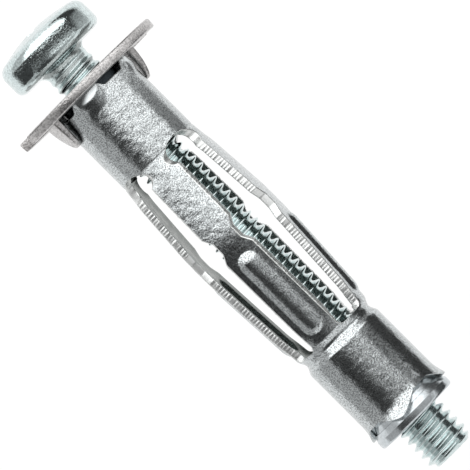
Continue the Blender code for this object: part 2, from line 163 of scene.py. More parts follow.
class AnchorScrewSizes(bpy.types.PropertyGroup):
    """Sizes of the pan-head machine screw."""

    thread_r: length("Thread radius", "Outer radius of the thread", 1.97)
    depth: length("Thread depth", "Depth of the thread", 0.43)
    pitch: length("Pitch", "Distance between turns of the thread", 0.70)
    run_in: length("Run in", "Length over which the thread grows to its full depth", 2.40)
    chamfer: length("Tip chamfer", "Chamfer at the screw's tip", 0.50)
    head_height: length("Head height", "Height of the pan head", 3.00)
    crown: length("Crown", "Rise of the head's domed top", 0.42)
    top_edge: length("Top edge", "Edge radius at the head's top", 0.90)
    lower_edge: length("Lower edge", "Edge radius at the head's underside", 0.60)
    neck: length("Neck", "Plain length under the head", 0.80)
    neck_fillet: length("Neck fillet", "Fillet under the head", 0.65)
    recess_span: length("Recess span", "Width across the cross recess", 4.20)
    recess_width: length("Recess width", "Width of a wing of the recess", 0.95)
    recess_depth: length("Recess depth", "Depth of the cross recess", 1.90)
    recess_floor: length("Recess floor", "Width across the recess at its floor", 1.30)
    steps: IntProperty(name="Steps", description="Steps round one turn of the thread", default=56, min=12)
    rows: IntProperty(name="Rows", description="Rows along one turn of the thread", default=12, min=6)


class AnchorFlangeSizes(bpy.types.PropertyGroup):
    """Sizes of the stamped flange and its prongs."""

    hole_r: length("Hole", "Radius of the flange's hole", 2.85)
    hub: length("Hub", "Height of the lip round the hole, inside the sleeve", 0.62)
    hub_t: length("Hub thickness", "Thickness of the lip round the hole", 0.45)
    edge: length("Edge", "Radius rolled over at the flange's rim", 0.16)
    prong_r: length("Prong radius", "Outer radius of the prongs at their root", 4.20)
    prong_t: length("Prong thickness", "Thickness of a prong at its root", 0.70)
    prong_width: length("Prong width", "Width of a prong at its root", 2.40)
    tip_width: length("Tip width", "Width of a prong at its tip", 0.50)
    tip_t: length("Tip thickness", "Thickness of a prong at its tip", 0.35)
    lean: length("Lean", "How far a prong leans in at its tip", 0.40)
    slit: length("Slit", "Gap at each side of a prong", 0.15)
    prong_turn: turn("Prong turn", "Turn of the prongs round the axis, from the legs at the sides", 27.5)


class AnchorFinish(bpy.types.PropertyGroup):
    """Colours of the plating on each piece. The inside and recess colours are darkened as painted shade."""

    sheet: colour("Sheet", "Plating on the sleeve's sheet", "#D6DBDC")
    sheared: colour("Sheared edge", "Plating on the sheet's cut edges", "#EAECEB")
    plate: colour("Plate", "Plating on the stamped flange", "#D2D0CF")
    turned: colour("Turned", "Plating on the nut", "#CDD3D6")
    rolled: colour("Rolled", "Plating on the screw", "#DAE6E6")
    # Painted shade: the inside colour is darker to stand in for the shade on the sleeve's inner faces.
    inside: colour("Inside", "Thin plating inside the sleeve", "#888D8A")
    # Painted shade: the recess colour is dark to stand in for the shade in the openings between the tabs.
    recess: colour("Recess", "Oily recess behind the sleeve's tabs", "#3C4246")


class AnchorStage(bpy.types.PropertyGroup):
    """Camera and floor."""

    view_width: length("View width", "Width of the picture at the anchor", 33.87)
    lens: FloatProperty(name="Lens", description="Focal length in millimetres", default=700.0, min=1.0)
    tilt: turn("Tilt", "Lean of the view to the left of straight down", 11.5)
    roll: turn("Roll", "Turn of the anchor in the picture", 45.0)
    aim: length("Aim", "Place on the axis at the picture's middle", 14.79)
    aim_side: length("Aim side", "Offset of the picture's middle from the axis", 0.09)
    floor_drop: length("Floor", "Distance of the floor under the axis", 20.0)
    floor_size: length("Floor size", "Half the floor's side", 1500.0)


# Building blocks

ROUND_STEPS = 288
CORNER_STEPS = 3


def smooth_step(value):
    value = np.clip(value, 0.0, 1.0)
    return value * value * (3.0 - 2.0 * value)


def soft_ramp(value, softness):
    """Zero before zero and rising one to one after it, with a rounded corner."""
    return (value + np.sqrt(value * value + softness * softness)) / 2.0


def from_nearest(angle, spacing):
    """How far an angle is from the nearest of evenly spaced ones, of which zero is one."""
    return abs((angle + spacing / 2.0) % spacing - spacing / 2.0)


def full_turn(steps):
    return np.linspace(0.0, 2.0 * math.pi, steps, endpoint=False)


def quarter_turn(steps):
    """Even angles up to a right angle, without zero."""
    return [math.pi / 2.0 * step / steps for step in range(1, steps + 1)]


def place(r, angle, along):
    """Round the screw's axis, which lies along +Y, leg 1 at angle 0."""
    return np.stack([r * np.cos(angle), along, -r * np.sin(angle)], axis=-1)


def ring_at(profile, angle):
    """A profile of (radius, along) points, turned to an angle round the axis."""
    points = np.asarray(profile)
    return place(points[:, 0], np.full(len(points), angle), points[:, 1])


def arc(centre_r, centre_y, radius, start, end, steps):
    angles = np.radians(np.linspace(start, end, steps + 1))
    return [(centre_r + radius * math.cos(a), centre_y + radius * math.sin(a)) for a in angles]


def loft(name, rings, round_trip=False, edge_columns=(), inner_columns=(), cap_from=0):
    """A closed mesh through rings of equal count, each a closed loop. Edge columns take slot 1, inner ones
    slot 2. A round trip joins the last ring to the first. Otherwise each end is closed by a row of quads that
    starts on both sides of the loop's point cap_from."""
    rings = np.asarray(rings)
    count, around = rings.shape[:2]
    faces = []
    slots = []
    for row in range(count if round_trip else count - 1):
        upper = (row + 1) % count
        for column in range(around):
            beside = (column + 1) % around
            corners = ((row, column), (row, beside), (upper, beside), (upper, column))
            faces.append(tuple(ring * around + point for ring, point in corners))
            slots.append(1 if column in edge_columns else 2 if column in inner_columns else 0)
    if not round_trip:
        for ring, order in ((0, -1), (count - 1, 1)):
            for step in range(around // 2 - 1):
                ahead = cap_from + step
                behind = cap_from - 1 - step
                corners = (ahead, ahead + 1, behind - 1, behind)[::order]
                faces.append(tuple(ring * around + corner % around for corner in corners))
                slots.append(0)
    mesh = bpy.data.meshes.new(name)
    mesh.from_pydata(rings.reshape(-1, 3).tolist(), [], faces)
    mesh.validate()
    mesh.polygons.foreach_set("material_index", slots)
    return mesh


def mesh_from(bm, name):
    mesh = bpy.data.meshes.new(name)
    bm.to_mesh(mesh)
    bm.free()
    return mesh


def smooth(mesh, angle=42.0):
    mesh.shade_smooth()
    mesh.set_sharp_from_angle(angle=math.radians(angle))
    return mesh


def tidy(mesh, weld=0.0002 * MM):
    """Welds doubled points, drops faces that have shrunk to nothing and turns the rest outwards."""
    bm = bmesh.new()
    bm.from_mesh(mesh)
    bmesh.ops.remove_doubles(bm, verts=bm.verts, dist=weld)
    bmesh.ops.triangulate(bm, faces=[face for face in bm.faces if len(face.verts) > 4])
    bmesh.ops.dissolve_degenerate(bm, edges=bm.edges, dist=weld / 2.0)
    bmesh.ops.recalc_face_normals(bm, faces=bm.faces)
    bm.to_mesh(mesh)
    bm.free()
    return mesh


def marked(mesh):
    """Keeps where each point lies on the unfolded anchor, and the sheet's grain is laid out from these
    places.
    """
    places = np.empty(len(mesh.vertices) * 3, np.float32)
    mesh.vertices.foreach_get("co", places)
    mesh.attributes.new("unfolded", "FLOAT_VECTOR", "POINT").data.foreach_set("vector", places)
    return mesh


def add_piece(name, mesh, materials, tree=None, values=None):
    """A piece from a mesh, or from what a node tree with its named inputs set makes of the mesh."""
    piece = bpy.data.objects.new(name, mesh)
    bpy.context.scene.collection.objects.link(piece)
    for material in materials:
        mesh.materials.append(material)
    if tree:
        modifier = piece.modifiers.new("nodes", "NODES")
        modifier.node_group = tree
        for item in tree.interface.items_tree:
            if item.in_out == "INPUT" and item.name in values:
                modifier[item.identifier] = values[item.name]
        settled(piece)
    return piece


def settled(piece):
    """Turns the piece's modifiers into its plain mesh."""
    graph = bpy.context.evaluated_depsgraph_get()
    mesh = bpy.data.meshes.new_from_object(piece.evaluated_get(graph))
    piece.modifiers.clear()
    old = piece.data
    piece.data = mesh
    bpy.data.meshes.remove(old)


def turned_mesh(name, profile, steps, edge_columns=()):
    """A turned shape from a profile of (radius, along) points that starts and ends on the axis or closes."""
    rings = [ring_at(profile, angle) for angle in full_turn(steps)]
    return tidy(loft(name, rings, True, edge_columns))


def cut(piece, mesh, operation="DIFFERENCE"):
    """Cuts a mesh out of the piece, or joins it on, and keeps the plain result."""
    other = bpy.data.objects.new("cutter", mesh)
    bpy.context.scene.collection.objects.link(other)
    modifier = piece.modifiers.new("cut", "BOOLEAN")
    modifier.object = other
    modifier.operation = operation
    modifier.solver = "EXACT"
    settled(piece)
    bpy.data.objects.remove(other, do_unlink=True)
    bpy.data.meshes.remove(mesh)


# Finishes

MATHS = "ShaderNodeMath"
VECTORS = "ShaderNodeVectorMath"
RANGE = "ShaderNodeMapRange"
NOISE = "ShaderNodeTexNoise"
WHITE = (1.0, 1.0, 1.0, 1.0)


def first_output(node):
    return next(socket for socket in node.outputs if socket.enabled)


def add(tree, kind, inputs=None, to=None, **options):
    """Adds a node. Options are its settings, and inputs are values, sockets, or nodes whose first output is
    meant. Its own first output is linked to the socket given."""
    node = tree.nodes.new(kind)
    for key, value in options.items():
        setattr(node, key, value)
    for key, value in (inputs or {}).items():
        if isinstance(value, bpy.types.Node):
            value = first_output(value)
        if isinstance(value, bpy.types.NodeSocket):
            tree.links.new(value, node.inputs[key])
        else:
            node.inputs[key].default_value = value
    if to is not None:
        tree.links.new(first_output(node), to)
    return node


def new_metal(name):
    material = bpy.data.materials.new(name)
    material.use_nodes = True
    shader = material.node_tree.nodes["Principled BSDF"]
    shader.inputs["Metallic"].default_value = 1.0
    return material, material.node_tree, shader.inputs


def per_size(size):
    """A texture scale that gives features of a real size."""
    return 1.0 / size


def tumbled_zinc(colours):
    """Bright zinc plating on cold-formed sheet, tumbled in a barrel: neutral grey metal that mirrors the
    room, broken by a salt-and-pepper grain about 0.2 mm across, with duller patches. A staked tab is smoothed
    by burnishing, and there its colour is lifted to plain bright zinc as a painted highlight. The sleeve's
    pieces share it."""
    name = "bright_zinc_tumbled_sheet"
    if name in bpy.data.materials:
        return bpy.data.materials[name]
    material, tree, surface = new_metal(name)
    where = add(tree, "ShaderNodeAttribute", attribute_name="unfolded").outputs["Vector"]
    grain = add(tree, NOISE, {
        "Vector": where, "Scale": per_size(0.085 * MM), "Detail": 2.0, "Roughness": 0.65,
    })
    dents = add(tree, NOISE, {"Vector": where, "Scale": per_size(0.55 * MM), "Detail": 2.0})
    swell = add(tree, NOISE, {"Vector": where, "Scale": per_size(1.6 * MM), "Detail": 2.0})
    height = add(tree, MATHS, {0: dents, 1: 3.5, 2: grain}, operation="MULTIPLY_ADD")
    # The burnish share smooths the grain away and lifts the colour to plain bright zinc: a painted highlight
    # on the tab's bulge.
    burnished = add(tree, "ShaderNodeAttribute", attribute_name="burnished").outputs["Fac"]
    grainy = add(tree, MATHS, {0: 1.0, 1: burnished}, operation="SUBTRACT")
    add(tree, "ShaderNodeBump", {
        "Height": height, "Strength": grainy, "Distance": 0.008 * MM,
    }, surface["Normal"])
    add(tree, RANGE, {
        "Value": swell, "From Min": 0.3, "From Max": 0.7, "To Min": 0.12, "To Max": 0.20,
    }, surface["Roughness"])
    speck = add(tree, RANGE, {
        "Value": grain, "From Min": 0.38, "From Max": 0.56, "To Min": 0.30, "To Max": 1.0,
    })
    add(tree, "ShaderNodeMix", {
        "Factor": grainy, "A": colours.sheet, "B": speck,
    }, surface["Base Color"], data_type="RGBA", blend_type="MULTIPLY")
    return material


def sheared_zinc(colours):
    """Zinc over a sheared edge, with the ribs that the punch tore across it: bright on the ribs, and darkened
    by painted shade in the grooves between."""
    material, tree, surface = new_metal("bright_zinc_sheared_edge")
    rib = add(tree, "ShaderNodeAttribute", attribute_name="rib").outputs["Fac"]
    # Painted shade: the colour darkens in the grooves between the ribs.
    shade = add(tree, RANGE, {
        "Value": rib, "From Min": 0.36, "From Max": 0.54, "To Min": 0.74, "To Max": 1.0,
    })
    add(tree, "ShaderNodeMix", {
        "Factor": 1.0, "A": colours.sheared, "B": shade,
    }, surface["Base Color"], data_type="RGBA", blend_type="MULTIPLY")
    surface["Roughness"].default_value = 0.38
    return material


def plated_metal(name, base, grit, depth, rough, darkest, sheet=False):
    """Zinc plating: fine grit of the given size over a duller or brighter ground, fixed to the piece or to
    the sheet."""
    material, tree, surface = new_metal(name)
    if sheet:
        where = add(tree, "ShaderNodeAttribute", attribute_name="unfolded").outputs["Vector"]
    else:
        where = add(tree, "ShaderNodeTexCoord").outputs["Object"]
    grain = add(tree, NOISE, {"Vector": where, "Scale": per_size(grit), "Detail": 2.0, "Roughness": 0.6})
    cloud = add(tree, NOISE, {"Vector": where, "Scale": per_size(6.0 * grit), "Detail": 2.0})
    add(tree, "ShaderNodeBump", {"Height": grain, "Strength": 1.0, "Distance": depth}, surface["Normal"])
    add(tree, RANGE, {
        "Value": cloud, "From Min": 0.3, "From Max": 0.7, "To Min": rough[0], "To Max": rough[1],
    }, surface["Roughness"])
    shade = add(tree, RANGE, {
        "Value": grain, "From Min": 0.32, "From Max": 0.6, "To Min": darkest, "To Max": 1.0,
    })
    add(tree, "ShaderNodeMix", {
        "Factor": 1.0, "A": base, "B": shade,
    }, surface["Base Color"], data_type="RGBA", blend_type="MULTIPLY")
    return material


def stamped_zinc(colours):
    """Satin zinc on a blanked plate: grey, gritty, with less gloss than the sleeve."""
    return plated_metal(
        "satin_zinc_stamped_plate", colours.plate,
        grit=0.15 * MM, depth=0.018 * MM, rough=(0.26, 0.38), darkest=0.48,
    )


def painted_shade_recess_zinc(colours):
    """Zinc in the recess behind the sleeve's tabs, in a dark colour that is painted shade, so that the
    openings between the tabs read as deep.
    """
    return plated_metal(
        "oiled_zinc_recess", colours.recess,
        grit=0.13 * MM, depth=0.010 * MM, rough=(0.30, 0.40), darkest=0.70,
    )


def painted_shade_inside_zinc(colours):
    """Zinc inside the sleeve, greyer and softer than outside: its darker colour is painted shade on the
    sleeve's inner faces.
    """
    return plated_metal(
        "thin_zinc_inside", colours.inside,
        grit=0.10 * MM, depth=0.006 * MM, rough=(0.24, 0.34), darkest=0.70, sheet=True,
    )


def turned_zinc(colours):
    """Bright zinc on a turned nut: smooth and pale, with faint tool grain."""
    return plated_metal(
        "bright_zinc_turned_nut", colours.turned,
        grit=0.25 * MM, depth=0.006 * MM, rough=(0.16, 0.26), darkest=0.85,
    )


def rolled_zinc(colours):
    """Bright zinc with a blue passivate on a rolled screw: colder than the sleeve's, with fainter specks."""
    return plated_metal(
        "blue_zinc_rolled_screw", colours.rolled,
        grit=0.30 * MM, depth=0.008 * MM, rough=(0.13, 0.22), darkest=0.82,
    )


def headed_zinc(colours):
    """The screw's zinc over its cold-headed head, where the die leaves a fine dimpled skin that breaks
    reflections."""
    return plated_metal(
        "blue_zinc_headed_screw", colours.rolled,
        grit=0.16 * MM, depth=0.015 * MM, rough=(0.07, 0.12), darkest=0.68,
    )


def new_tree(name, inputs):
    """A geometry tree with named inputs of the given kinds, and the sockets that carry them in."""
    tree = bpy.data.node_groups.new(name, "GeometryNodeTree")
    tree.interface.new_socket("Geometry", in_out="OUTPUT", socket_type="NodeSocketGeometry")
    for label, kind in inputs.items():
        tree.interface.new_socket(label, in_out="INPUT", socket_type="NodeSocket" + kind)
    return tree, add(tree, "NodeGroupInput").outputs


def end_tree(tree, geometry, material, selection=True):
    """Ends a tree in a plain mesh that is coated where selected."""
    whole = add(tree, "GeometryNodeRealizeInstances", {"Geometry": geometry})
    coated = add(tree, "GeometryNodeSetMaterial", {
        "Geometry": whole, "Selection": selection, "Material": material,
    })
    add(tree, "NodeGroupOutput", {"Geometry": coated})
    return tree


# Sleeve

QUARTER = SLEEVE_R * math.pi / 2.0
# A seam between two pieces lies this far past the slot's end
SEAM = 0.06 * MM
# The knee's notch and the crease's pressed line lie this far past their bends
NOTCH_SHIFT = 0.08 * MM
LINE_SHIFT = 0.06 * MM
# Softness of a leg's bends at its creases and at its knee
CREASE_SOFT = 0.10 * MM
KNEE_SOFT = 0.7 * MM
# Stretches of an edge that were pressed flat again, and how fast the ribs come back past them
KNEE_PRESSED = 0.9 * MM
KNEE_TEAR = 0.4 * MM
BULB_PRESSED = 1.3 * MM
BULB_TEAR = 0.7 * MM
# An edge's rounding and slant take up to this share of half the slot
SLOT_SHARE = 0.5
# The slant grows by this much of what the slot widens
SLANT_GAIN = 0.9
# Rows of points closer than this are one row
NEAR = 0.004 * MM
# Slope of the wedge ends that meet at the lower crease of legs 2 to 4
WEDGE = math.tan(math.radians(25.0))
# A tab's side slope, how far it reaches into the flange, and where its finer rows start
TAB_RAMP = 0.30 * MM
TAB_REACH = 0.04 * MM
FINE_ROWS = 1.2 * MM
# Shares of a tab's bulge: how much its top slopes, where its sides end and how softly they fall
BULGE_SLOPE = 0.08
BULGE_SIDE = 1.25
BULGE_SIDE_FALL = 0.5
# The burnish and its painted highlight reach this far past a bulge's top, and fade over this length
BURNISH_HIGHLIGHT_REACH = 0.14 * MM
BURNISH_HIGHLIGHT_FADE = 0.16 * MM


def sleeve_marks(sleeve):
    """Places along the axis where the sleeve's pieces meet, all on straight stretches of the sheet."""
    return {
        "collar": CREASE - sleeve.bulb_above - SEAM,
        "upper": CREASE + (KNEE - CREASE) * 0.5,
        "lower": KNEE + (LOWER_CREASE - KNEE) * 0.5,
        "barrel": LOWER_CREASE + sleeve.slot_end + SEAM,
    }


def slot_half_width(along, sleeve):
    """Half the gap between neighbouring legs: round bulb at the top, square end with round corners below."""
    top = CREASE - sleeve.bulb_above
    half_bulb = sleeve.bulb_length / 2.0
    from_bulb = np.clip((along - top - half_bulb) / half_bulb, -1.0, 1.0)
    bulb = sleeve.bulb_width / 2.0 * np.sqrt(1.0 - from_bulb ** 2)
    end = LOWER_CREASE + sleeve.slot_end
    into_corner = np.clip((along - end + sleeve.slot_corner) / sleeve.slot_corner, 0.0, 1.0)
    straight = sleeve.slot / 2.0 - sleeve.slot_corner * (1.0 - np.sqrt(1.0 - into_corner ** 2))
    half = np.maximum(bulb, np.where(along > top + half_bulb, straight, 0.0))
    return np.where((along <= top) | (along >= end), 0.0, half)


def leg_half_width(along, sleeve):
    ramp = (sleeve.notch_length - sleeve.notch_flat) / 2.0
    from_flat = np.abs(along - KNEE - NOTCH_SHIFT) - sleeve.notch_flat / 2.0
    notch = sleeve.knee_notch * np.clip(1.0 - from_flat / ramp, 0.0, 1.0)
    return QUARTER / 2.0 - slot_half_width(along, sleeve) - notch


def sleeve_radius(along, sleeve):
    """Outer radius of the sleeve's round parts: pressed line at the crease, rolled groove and flared end. The
    flare is the first half of a smooth step, so it still opens where the sheet ends."""
    line = sleeve.crease_depth * np.exp(-((along - CREASE - LINE_SHIFT) / (sleeve.crease_width / 2.0)) ** 2)
    from_groove = (along - LOWER_CREASE - sleeve.groove_place) / (sleeve.groove_length / 2.0)
    groove = sleeve.groove_depth * (1.0 + np.cos(math.pi * np.clip(np.abs(from_groove), 0.0, 1.0))) / 2.0
    from_end = (along - BARREL_END + sleeve.flare_length) / sleeve.flare_length
    return SLEEVE_R - line - groove + sleeve.flare * smooth_step(from_end * 0.5) * 2.0


def leg_bulge(along, sleeve):
    """How far a leg stands out of the round sleeve: straight to the knee and straight back."""
    up = sleeve.knee_bulge / (KNEE - CREASE)
    down = sleeve.knee_bulge / (LOWER_CREASE - KNEE)
    rise = up * soft_ramp(along - CREASE, CREASE_SOFT)
    bend = (up + down) * soft_ramp(along - KNEE, KNEE_SOFT)
    fall = down * soft_ramp(along - LOWER_CREASE, CREASE_SOFT)
    return rise - bend + fall


def leg_curve(along, sleeve):
    """Radius of a leg's section: as round as the sleeve at its ends and nearly flat between."""
    past_crease = smooth_step((along - CREASE) / sleeve.flatten)
    flat = past_crease * smooth_step((LOWER_CREASE - along) / sleeve.flatten)
    return 1.0 / (1.0 / SLEEVE_R + (1.0 / sleeve.leg_r - 1.0 / SLEEVE_R) * flat)


def bead_rise(along, side, sleeve):
    """Height of the pressed bead: a long domed bar with round ends."""
    half = sleeve.bead_width / 2.0
    start = KNEE + sleeve.bead_start + half
    end = KNEE + sleeve.bead_start + sleeve.bead_length - half
    past = np.maximum(np.maximum(start - along, along - end), 0.0)
    share = np.hypot(past, side) / half
    return sleeve.bead_height * soft_ramp(1.0 - share * share, sleeve.bead_fillet)


def strip_section(columns=32):
    """One loop round a leg's section, in shares: side, depth, side inset, depth inset and how much it faces
    sideways. Also which of its parts are edges and which lie inside."""
    sides = np.linspace(-1.0, 1.0, columns + 1)
    bend = quarter_turn(CORNER_STEPS)
    loop = [(side, 0.0, 0.0, 0.0, 0.0) for side in sides]
    loop[0] = (-1.0, 0.0, 1.0, 0.0, 0.0)
    loop[-1] = (1.0, 0.0, -1.0, 0.0, 0.0)
    loop += [(1.0, 0.0, math.sin(a) - 1.0, 1.0 - math.cos(a), math.sin(a)) for a in bend]
    loop += [(1.0, 1.0, math.cos(a) - 1.0, math.sin(a) - 1.0, math.cos(a)) for a in [0.0] + bend]
    edges = list(range(columns, len(loop) - 1))
    loop += [(side, 1.0, 0.0, 0.0, 0.0) for side in sides[::-1][1:-1]]
    second_edge = len(loop) - 1
    loop += [(-1.0, 1.0, 1.0 - math.sin(a), math.cos(a) - 1.0, -math.sin(a)) for a in [0.0] + bend]
    loop += [(-1.0, 0.0, 1.0 - math.cos(a), 1.0 - math.sin(a), -math.cos(a)) for a in [0.0] + bend[:-1]]
    edges += list(range(second_edge, len(loop)))
    inside = range(edges[len(edges) // 2 - 1], second_edge)
    return np.array(loop), set(edges), set(inside) - set(edges)


def torn_share(along):
    """How much of an edge's ribs is left: none at the knee and round the slot's wide end, where it was
    pressed again."""
    past_knee = (abs(along - KNEE) - KNEE_PRESSED) / KNEE_TEAR
    past_bulb = (along - CREASE - BULB_PRESSED) / BULB_TEAR
    return float(np.clip(min(past_knee, past_bulb), 0.0, 1.0))


def strip_mesh(name, leg, rows, sleeve, tilt_first=0.0, tilt_last=0.0):
    """A stretch of one leg between the first and last row, with its sheet thickness and rounded edges."""
    section, edges, inside = strip_section()
    leg_angle = (leg - 1) * math.pi / 2.0
    rings = []
    torn = []
    for index, row in enumerate(rows):
        half = leg_half_width(np.array(row), sleeve)
        open_slot = float(slot_half_width(np.array(row), sleeve))
        edge = min(sleeve.edge, open_slot * SLOT_SHARE)
        wide = max(0.0, open_slot - sleeve.slot / 2.0)
        slant = min(sleeve.slant + SLANT_GAIN * wide, open_slot * SLOT_SHARE)
        depth = section[:, 1] * sleeve.sheet + section[:, 3] * edge
        side = section[:, 0] * (half - slant * (1.0 - depth / sleeve.sheet)) + section[:, 2] * edge
        tilt = tilt_first if index == 0 else tilt_last if index == len(rows) - 1 else 0.0
        along = row + depth * tilt
        bow = leg_curve(row, sleeve)
        radius = bow + sleeve_radius(along, sleeve) - SLEEVE_R + bead_rise(along, side, sleeve) - depth
        angle = side / bow
        out = SLEEVE_R - bow + leg_bulge(along, sleeve) + radius * np.cos(angle)
        across = radius * np.sin(angle)
        x = out * math.cos(leg_angle) - across * math.sin(leg_angle)
        y = out * math.sin(leg_angle) + across * math.cos(leg_angle)
        rings.append(np.stack([x, along, -y], axis=-1))
        sideways = section[:, 4] * torn_share(row)
        facing = angle + leg_angle
        torn.append(np.stack([
            -np.sin(facing) * sideways, np.zeros(len(section)), -np.cos(facing) * sideways,
        ], axis=-1))
    mesh = loft(name, rings, edge_columns=edges, inner_columns=inside, cap_from=-CORNER_STEPS)
    out_of_edge = mesh.attributes.new("torn", "FLOAT_VECTOR", "POINT")
    out_of_edge.data.foreach_set("vector", np.concatenate(torn).astype(np.float32).ravel())
    return marked(smooth(tidy(mesh)))


def ribs_tree(material):
    """Node tree of the ribs across a sheared edge: moves its points in and out, keeps how high each one lies
    on its rib for the painted shade in the grooves, and coats the edge."""
    tree, given = new_tree("sheared_ribs", {"Geometry": "Geometry", "Pitch": "Float", "Depth": "Float"})
    # A noise stretched across the edge makes the ribs uneven, and shifts a fine wave of their pitch
    across = per_size(1.6 * MM)
    lengthwise = per_size(0.30 * MM)
    wander = 1.27
    wave_share = 0.10
    where = add(tree, "GeometryNodeInputPosition")
    along = add(tree, "ShaderNodeSeparateXYZ", {0: where}).outputs["Y"]
    stretched = add(tree, VECTORS, {0: where, 1: (across, lengthwise, across)}, operation="MULTIPLY")
    uneven = add(tree, NOISE, {"Vector": stretched, "Scale": 1.0, "Detail": 2.0})
    turns = add(tree, MATHS, {0: along, 1: given["Pitch"]}, operation="DIVIDE")
    shifted = add(tree, MATHS, {0: uneven, 1: wander, 2: turns}, operation="MULTIPLY_ADD")
    angle = add(tree, MATHS, {0: shifted, 1: 2.0 * math.pi}, operation="MULTIPLY")
    wave = add(tree, MATHS, {0: angle}, operation="SINE")
    height = add(tree, MATHS, {0: wave, 1: wave_share, 2: uneven}, operation="MULTIPLY_ADD")
    from_middle = add(tree, MATHS, {0: height, 1: 0.5}, operation="SUBTRACT")
    torn = add(tree, "GeometryNodeInputNamedAttribute", {"Name": "torn"}, data_type="FLOAT_VECTOR")
    share = add(tree, VECTORS, {0: torn}, operation="LENGTH")
    rib = add(tree, MATHS, {0: from_middle, 1: share, 2: 0.5}, operation="MULTIPLY_ADD")
    moved = add(tree, MATHS, {0: from_middle, 1: given["Depth"]}, operation="MULTIPLY")
    offset = add(tree, VECTORS, {0: torn, "Scale": moved}, operation="SCALE")
    kept = add(tree, "GeometryNodeStoreNamedAttribute", {
        "Geometry": given["Geometry"], "Name": "rib", "Value": rib,
    }, data_type="FLOAT", domain="POINT")
    placed = add(tree, "GeometryNodeSetPosition", {"Geometry": kept, "Offset": offset})
    cleared = add(tree, "GeometryNodeRemoveAttribute", {"Geometry": placed, "Name": "torn"})
    slot = add(tree, "GeometryNodeInputMaterialIndex")
    is_edge = add(tree, "FunctionNodeCompare", {2: slot, 3: 1}, data_type="INT", operation="EQUAL")
    return end_tree(tree, cleared, material, is_edge)


def spaced(marks):
    """Rows from (place, spacing) pairs: each spacing holds up to the next place."""
    rows = []
    for (start, step), (end, _) in zip(marks, marks[1:]):
        count = max(1, round((end - start) / step))
        rows += list(np.linspace(start, end, count, endpoint=False))
    rows.append(marks[-1][0])
    return rows


def crease_rows(sleeve, marks):
    """Rows of a leg's upper strip: fine round the slot's bulb and across the pressed line."""
    top = CREASE - sleeve.bulb_above
    half_bulb = sleeve.bulb_length / 2.0
    fine_step = sleeve.rib_pitch / 4.0
    bulb = [top + half_bulb * (1.0 - math.cos(a)) for a in [0.0] + quarter_turn(18)]
    line = spaced([(CREASE - 0.1 * MM, 0.02 * MM), (CREASE + 0.25 * MM, None)])
    rest = spaced([(top + half_bulb, 0.06 * MM), (top + 2.0 * half_bulb, fine_step), (marks["upper"], None)])
    rows = sorted(set([marks["collar"]] + bulb + line + rest))
    return [row for row, after in zip(rows, rows[1:] + [math.inf]) if after - row > NEAR]


def end_rows(sleeve, marks):
    """Rows of a leg's lower strip: fine round the corners of the slot's end."""
    end = LOWER_CREASE + sleeve.slot_end
    corner = end - sleeve.slot_corner
    rows = spaced([(marks["lower"], sleeve.rib_pitch / 4.0), (corner, None)])[:-1]
    rows += [corner + (sleeve.slot_corner - 0.02 * MM) * math.sin(a) for a in [0.0] + quarter_turn(10)]
    return rows + [end, marks["barrel"]]


def build_legs():
    sleeve = bpy.context.scene.anchor_sleeve
    colours = bpy.context.scene.anchor_finish
    # The third material goes on the inner faces, and its darker colour is painted shade there.
    zinc = [tumbled_zinc(colours), sheared_zinc(colours), painted_shade_inside_zinc(colours)]
    marks = sleeve_marks(sleeve)
    upper_rows = crease_rows(sleeve, marks)
    knee_rows = spaced([(marks["upper"], sleeve.rib_pitch / 4.0), (marks["lower"], None)])
    ribs = ribs_tree(zinc[1])
    values = {"Pitch": sleeve.rib_pitch, "Depth": sleeve.rib_depth}

    def leg_piece(name, *strip, **tilts):
        return add_piece(name, strip_mesh(name, *strip, sleeve, **tilts), zinc, ribs, values)

    for leg in LEGS:
        upper = leg_piece(f"sleeve_upper_{leg}", leg, upper_rows)
        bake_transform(upper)
        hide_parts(f"upper_leg_{leg}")
        knee = leg_piece(f"sleeve_knee_{leg}", leg, knee_rows)
        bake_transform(knee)
        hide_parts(f"lower_leg_{leg}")
        build_leg_end(leg, end_rows(sleeve, marks), leg_piece)


def build_leg_end(leg, rows, leg_piece):
    """Leg 1 bends into the end barrel. The others meet it with wedge ends that fill the opening crease."""
    if leg == 1:
        end = leg_piece("sleeve_lower_1", leg, rows)
        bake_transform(end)
        return
    before = [row for row in rows if row < LOWER_CREASE - NEAR] + [LOWER_CREASE]
    after = [LOWER_CREASE] + [row for row in rows if row > LOWER_CREASE + NEAR]
    end = leg_piece(f"sleeve_lower_{leg}", leg, before, tilt_last=WEDGE)
    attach(end, f"lower_leg_{leg}")
    root = leg_piece(f"sleeve_root_{leg}", leg, after, tilt_first=-WEDGE)
    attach(root, "nut_end")


